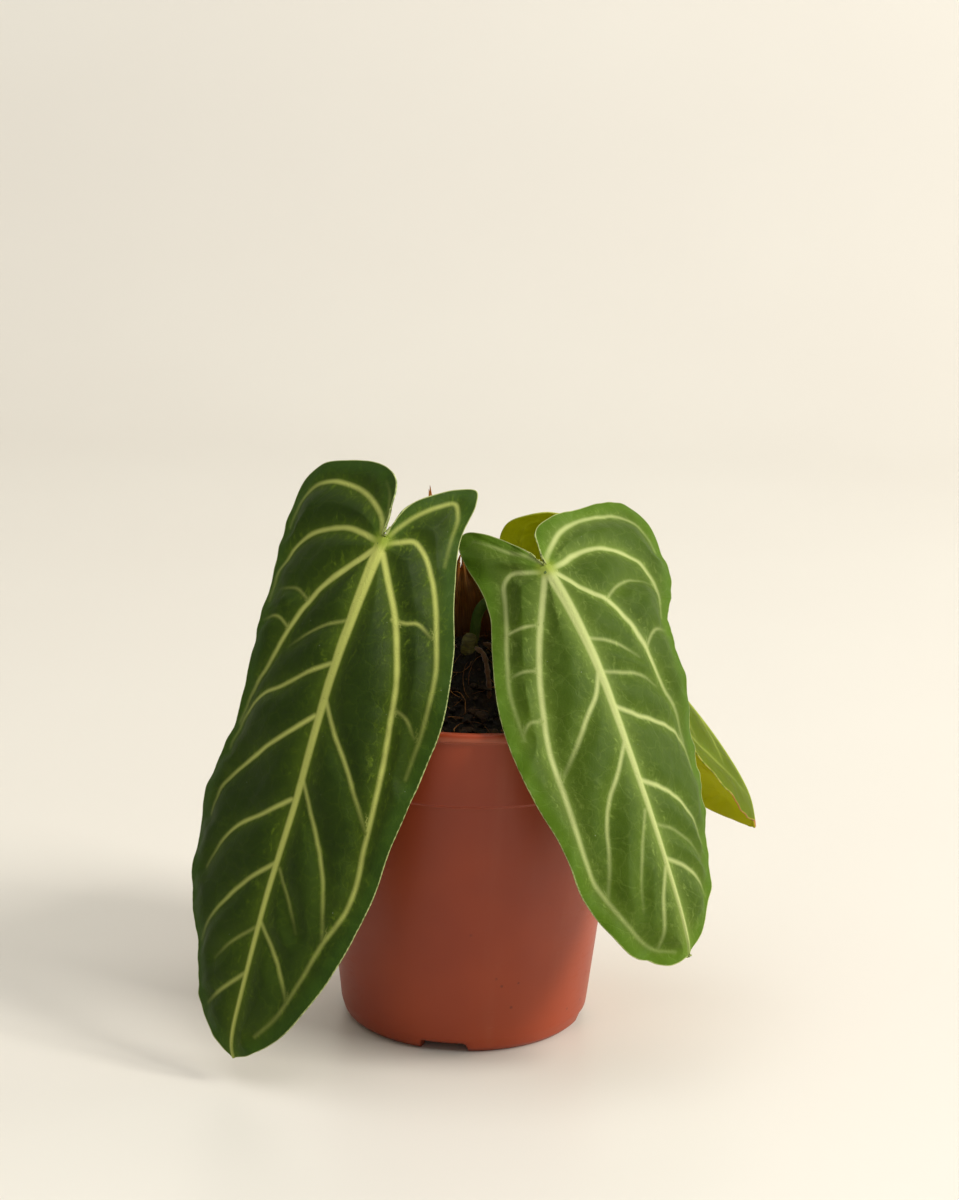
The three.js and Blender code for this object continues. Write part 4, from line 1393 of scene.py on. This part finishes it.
class ANTHURIUM_OT_leaves(Making, bpy.types.Operator):
    """Makes the three hanging heart-shaped leaves with their veins"""

    bl_idname = "anthurium.leaves"
    bl_label = "Leaves"

    # Each leaf with its rows, its columns and the height of its relief in millimetres
    GRIDS = {"left": (LEFT_LEAF, 332, 140, 3.0), "right": (RIGHT_LEAF, 300, 150, 3.0),
             "rear": (REAR_LEAF, 240, 110, 1.2)}
    RIPPLE = 0.6

    def execute(self, context):
        for seed, (name, (leaf, rows, columns, quilt)) in enumerate(self.GRIDS.items()):
            look = getattr(self.settings, name)
            for key, value in LEAF_CHANGES[name].items():
                setattr(look, key, value)
            blade = BladeMesh(leaf, rows, columns)
            thick = blade.shape(quilt, self.RIPPLE, seed + 3)
            mesh = blade.mesh
            mesh.name = name + "_blade"
            materials = [blade_upper(name + "_upper", look), blade_under(name + "_under", look),
                         blade_margin(name + "_margin", look)]
            piece = add_object(name + "_blade", mesh, materials, ["leaf_" + name])
            ribs = piece.vertex_groups.new(name="ribs")
            for index, weight in enumerate(thick):
                if weight > 0.01:
                    ribs.add([index], float(min(weight, 1)), "REPLACE")
            body = piece.modifiers.new("body", "SOLIDIFY")
            body.thickness = self.settings.blade_thickness
            body.offset = -1
            body.vertex_group = "ribs"
            body.thickness_vertex_group = 0.3
            body.use_quality_normals = True
            body.material_offset = 1
            body.material_offset_rim = 2
        return {"FINISHED"}


class ANTHURIUM_PT_panel(bpy.types.Panel):
    """Lists the plant's pieces"""

    bl_idname = "ANTHURIUM_PT_panel"
    bl_label = "Potted Anthurium"
    bl_space_type = "VIEW_3D"
    bl_region_type = "UI"
    bl_category = "Anthurium"

    def draw(self, context):
        for operator in OPERATORS:
            self.layout.operator(operator.bl_idname)
        settings = context.scene.anthurium
        for name in ("blade_thickness", "chip_count", "fibre_count"):
            self.layout.prop(settings, name)


OPERATORS = (ANTHURIUM_OT_stage, ANTHURIUM_OT_pot, ANTHURIUM_OT_mix, ANTHURIUM_OT_rhizome,
             ANTHURIUM_OT_petioles, ANTHURIUM_OT_cataphylls, ANTHURIUM_OT_leaves)
CLASSES = (AnthuriumLeafLook, AnthuriumPotLook, AnthuriumCrownLook, AnthuriumSettings, *OPERATORS,
           ANTHURIUM_PT_panel)


def register():
    for kind in CLASSES:
        bpy.utils.register_class(kind)
    bpy.types.Scene.anthurium = bpy.props.PointerProperty(type=AnthuriumSettings)


def unregister():
    del bpy.types.Scene.anthurium
    for kind in reversed(CLASSES):
        bpy.utils.unregister_class(kind)


def main():
    register()
    bpy.ops.anthurium.stage()
    bpy.ops.anthurium.pot()
    bpy.ops.anthurium.potting_mix()
    bpy.ops.anthurium.rhizome()
    bpy.ops.anthurium.petioles()
    bpy.ops.anthurium.cataphylls()
    bpy.ops.anthurium.leaves()
    bpy.context.view_layer.update()


if __name__ == "__main__":
    main()
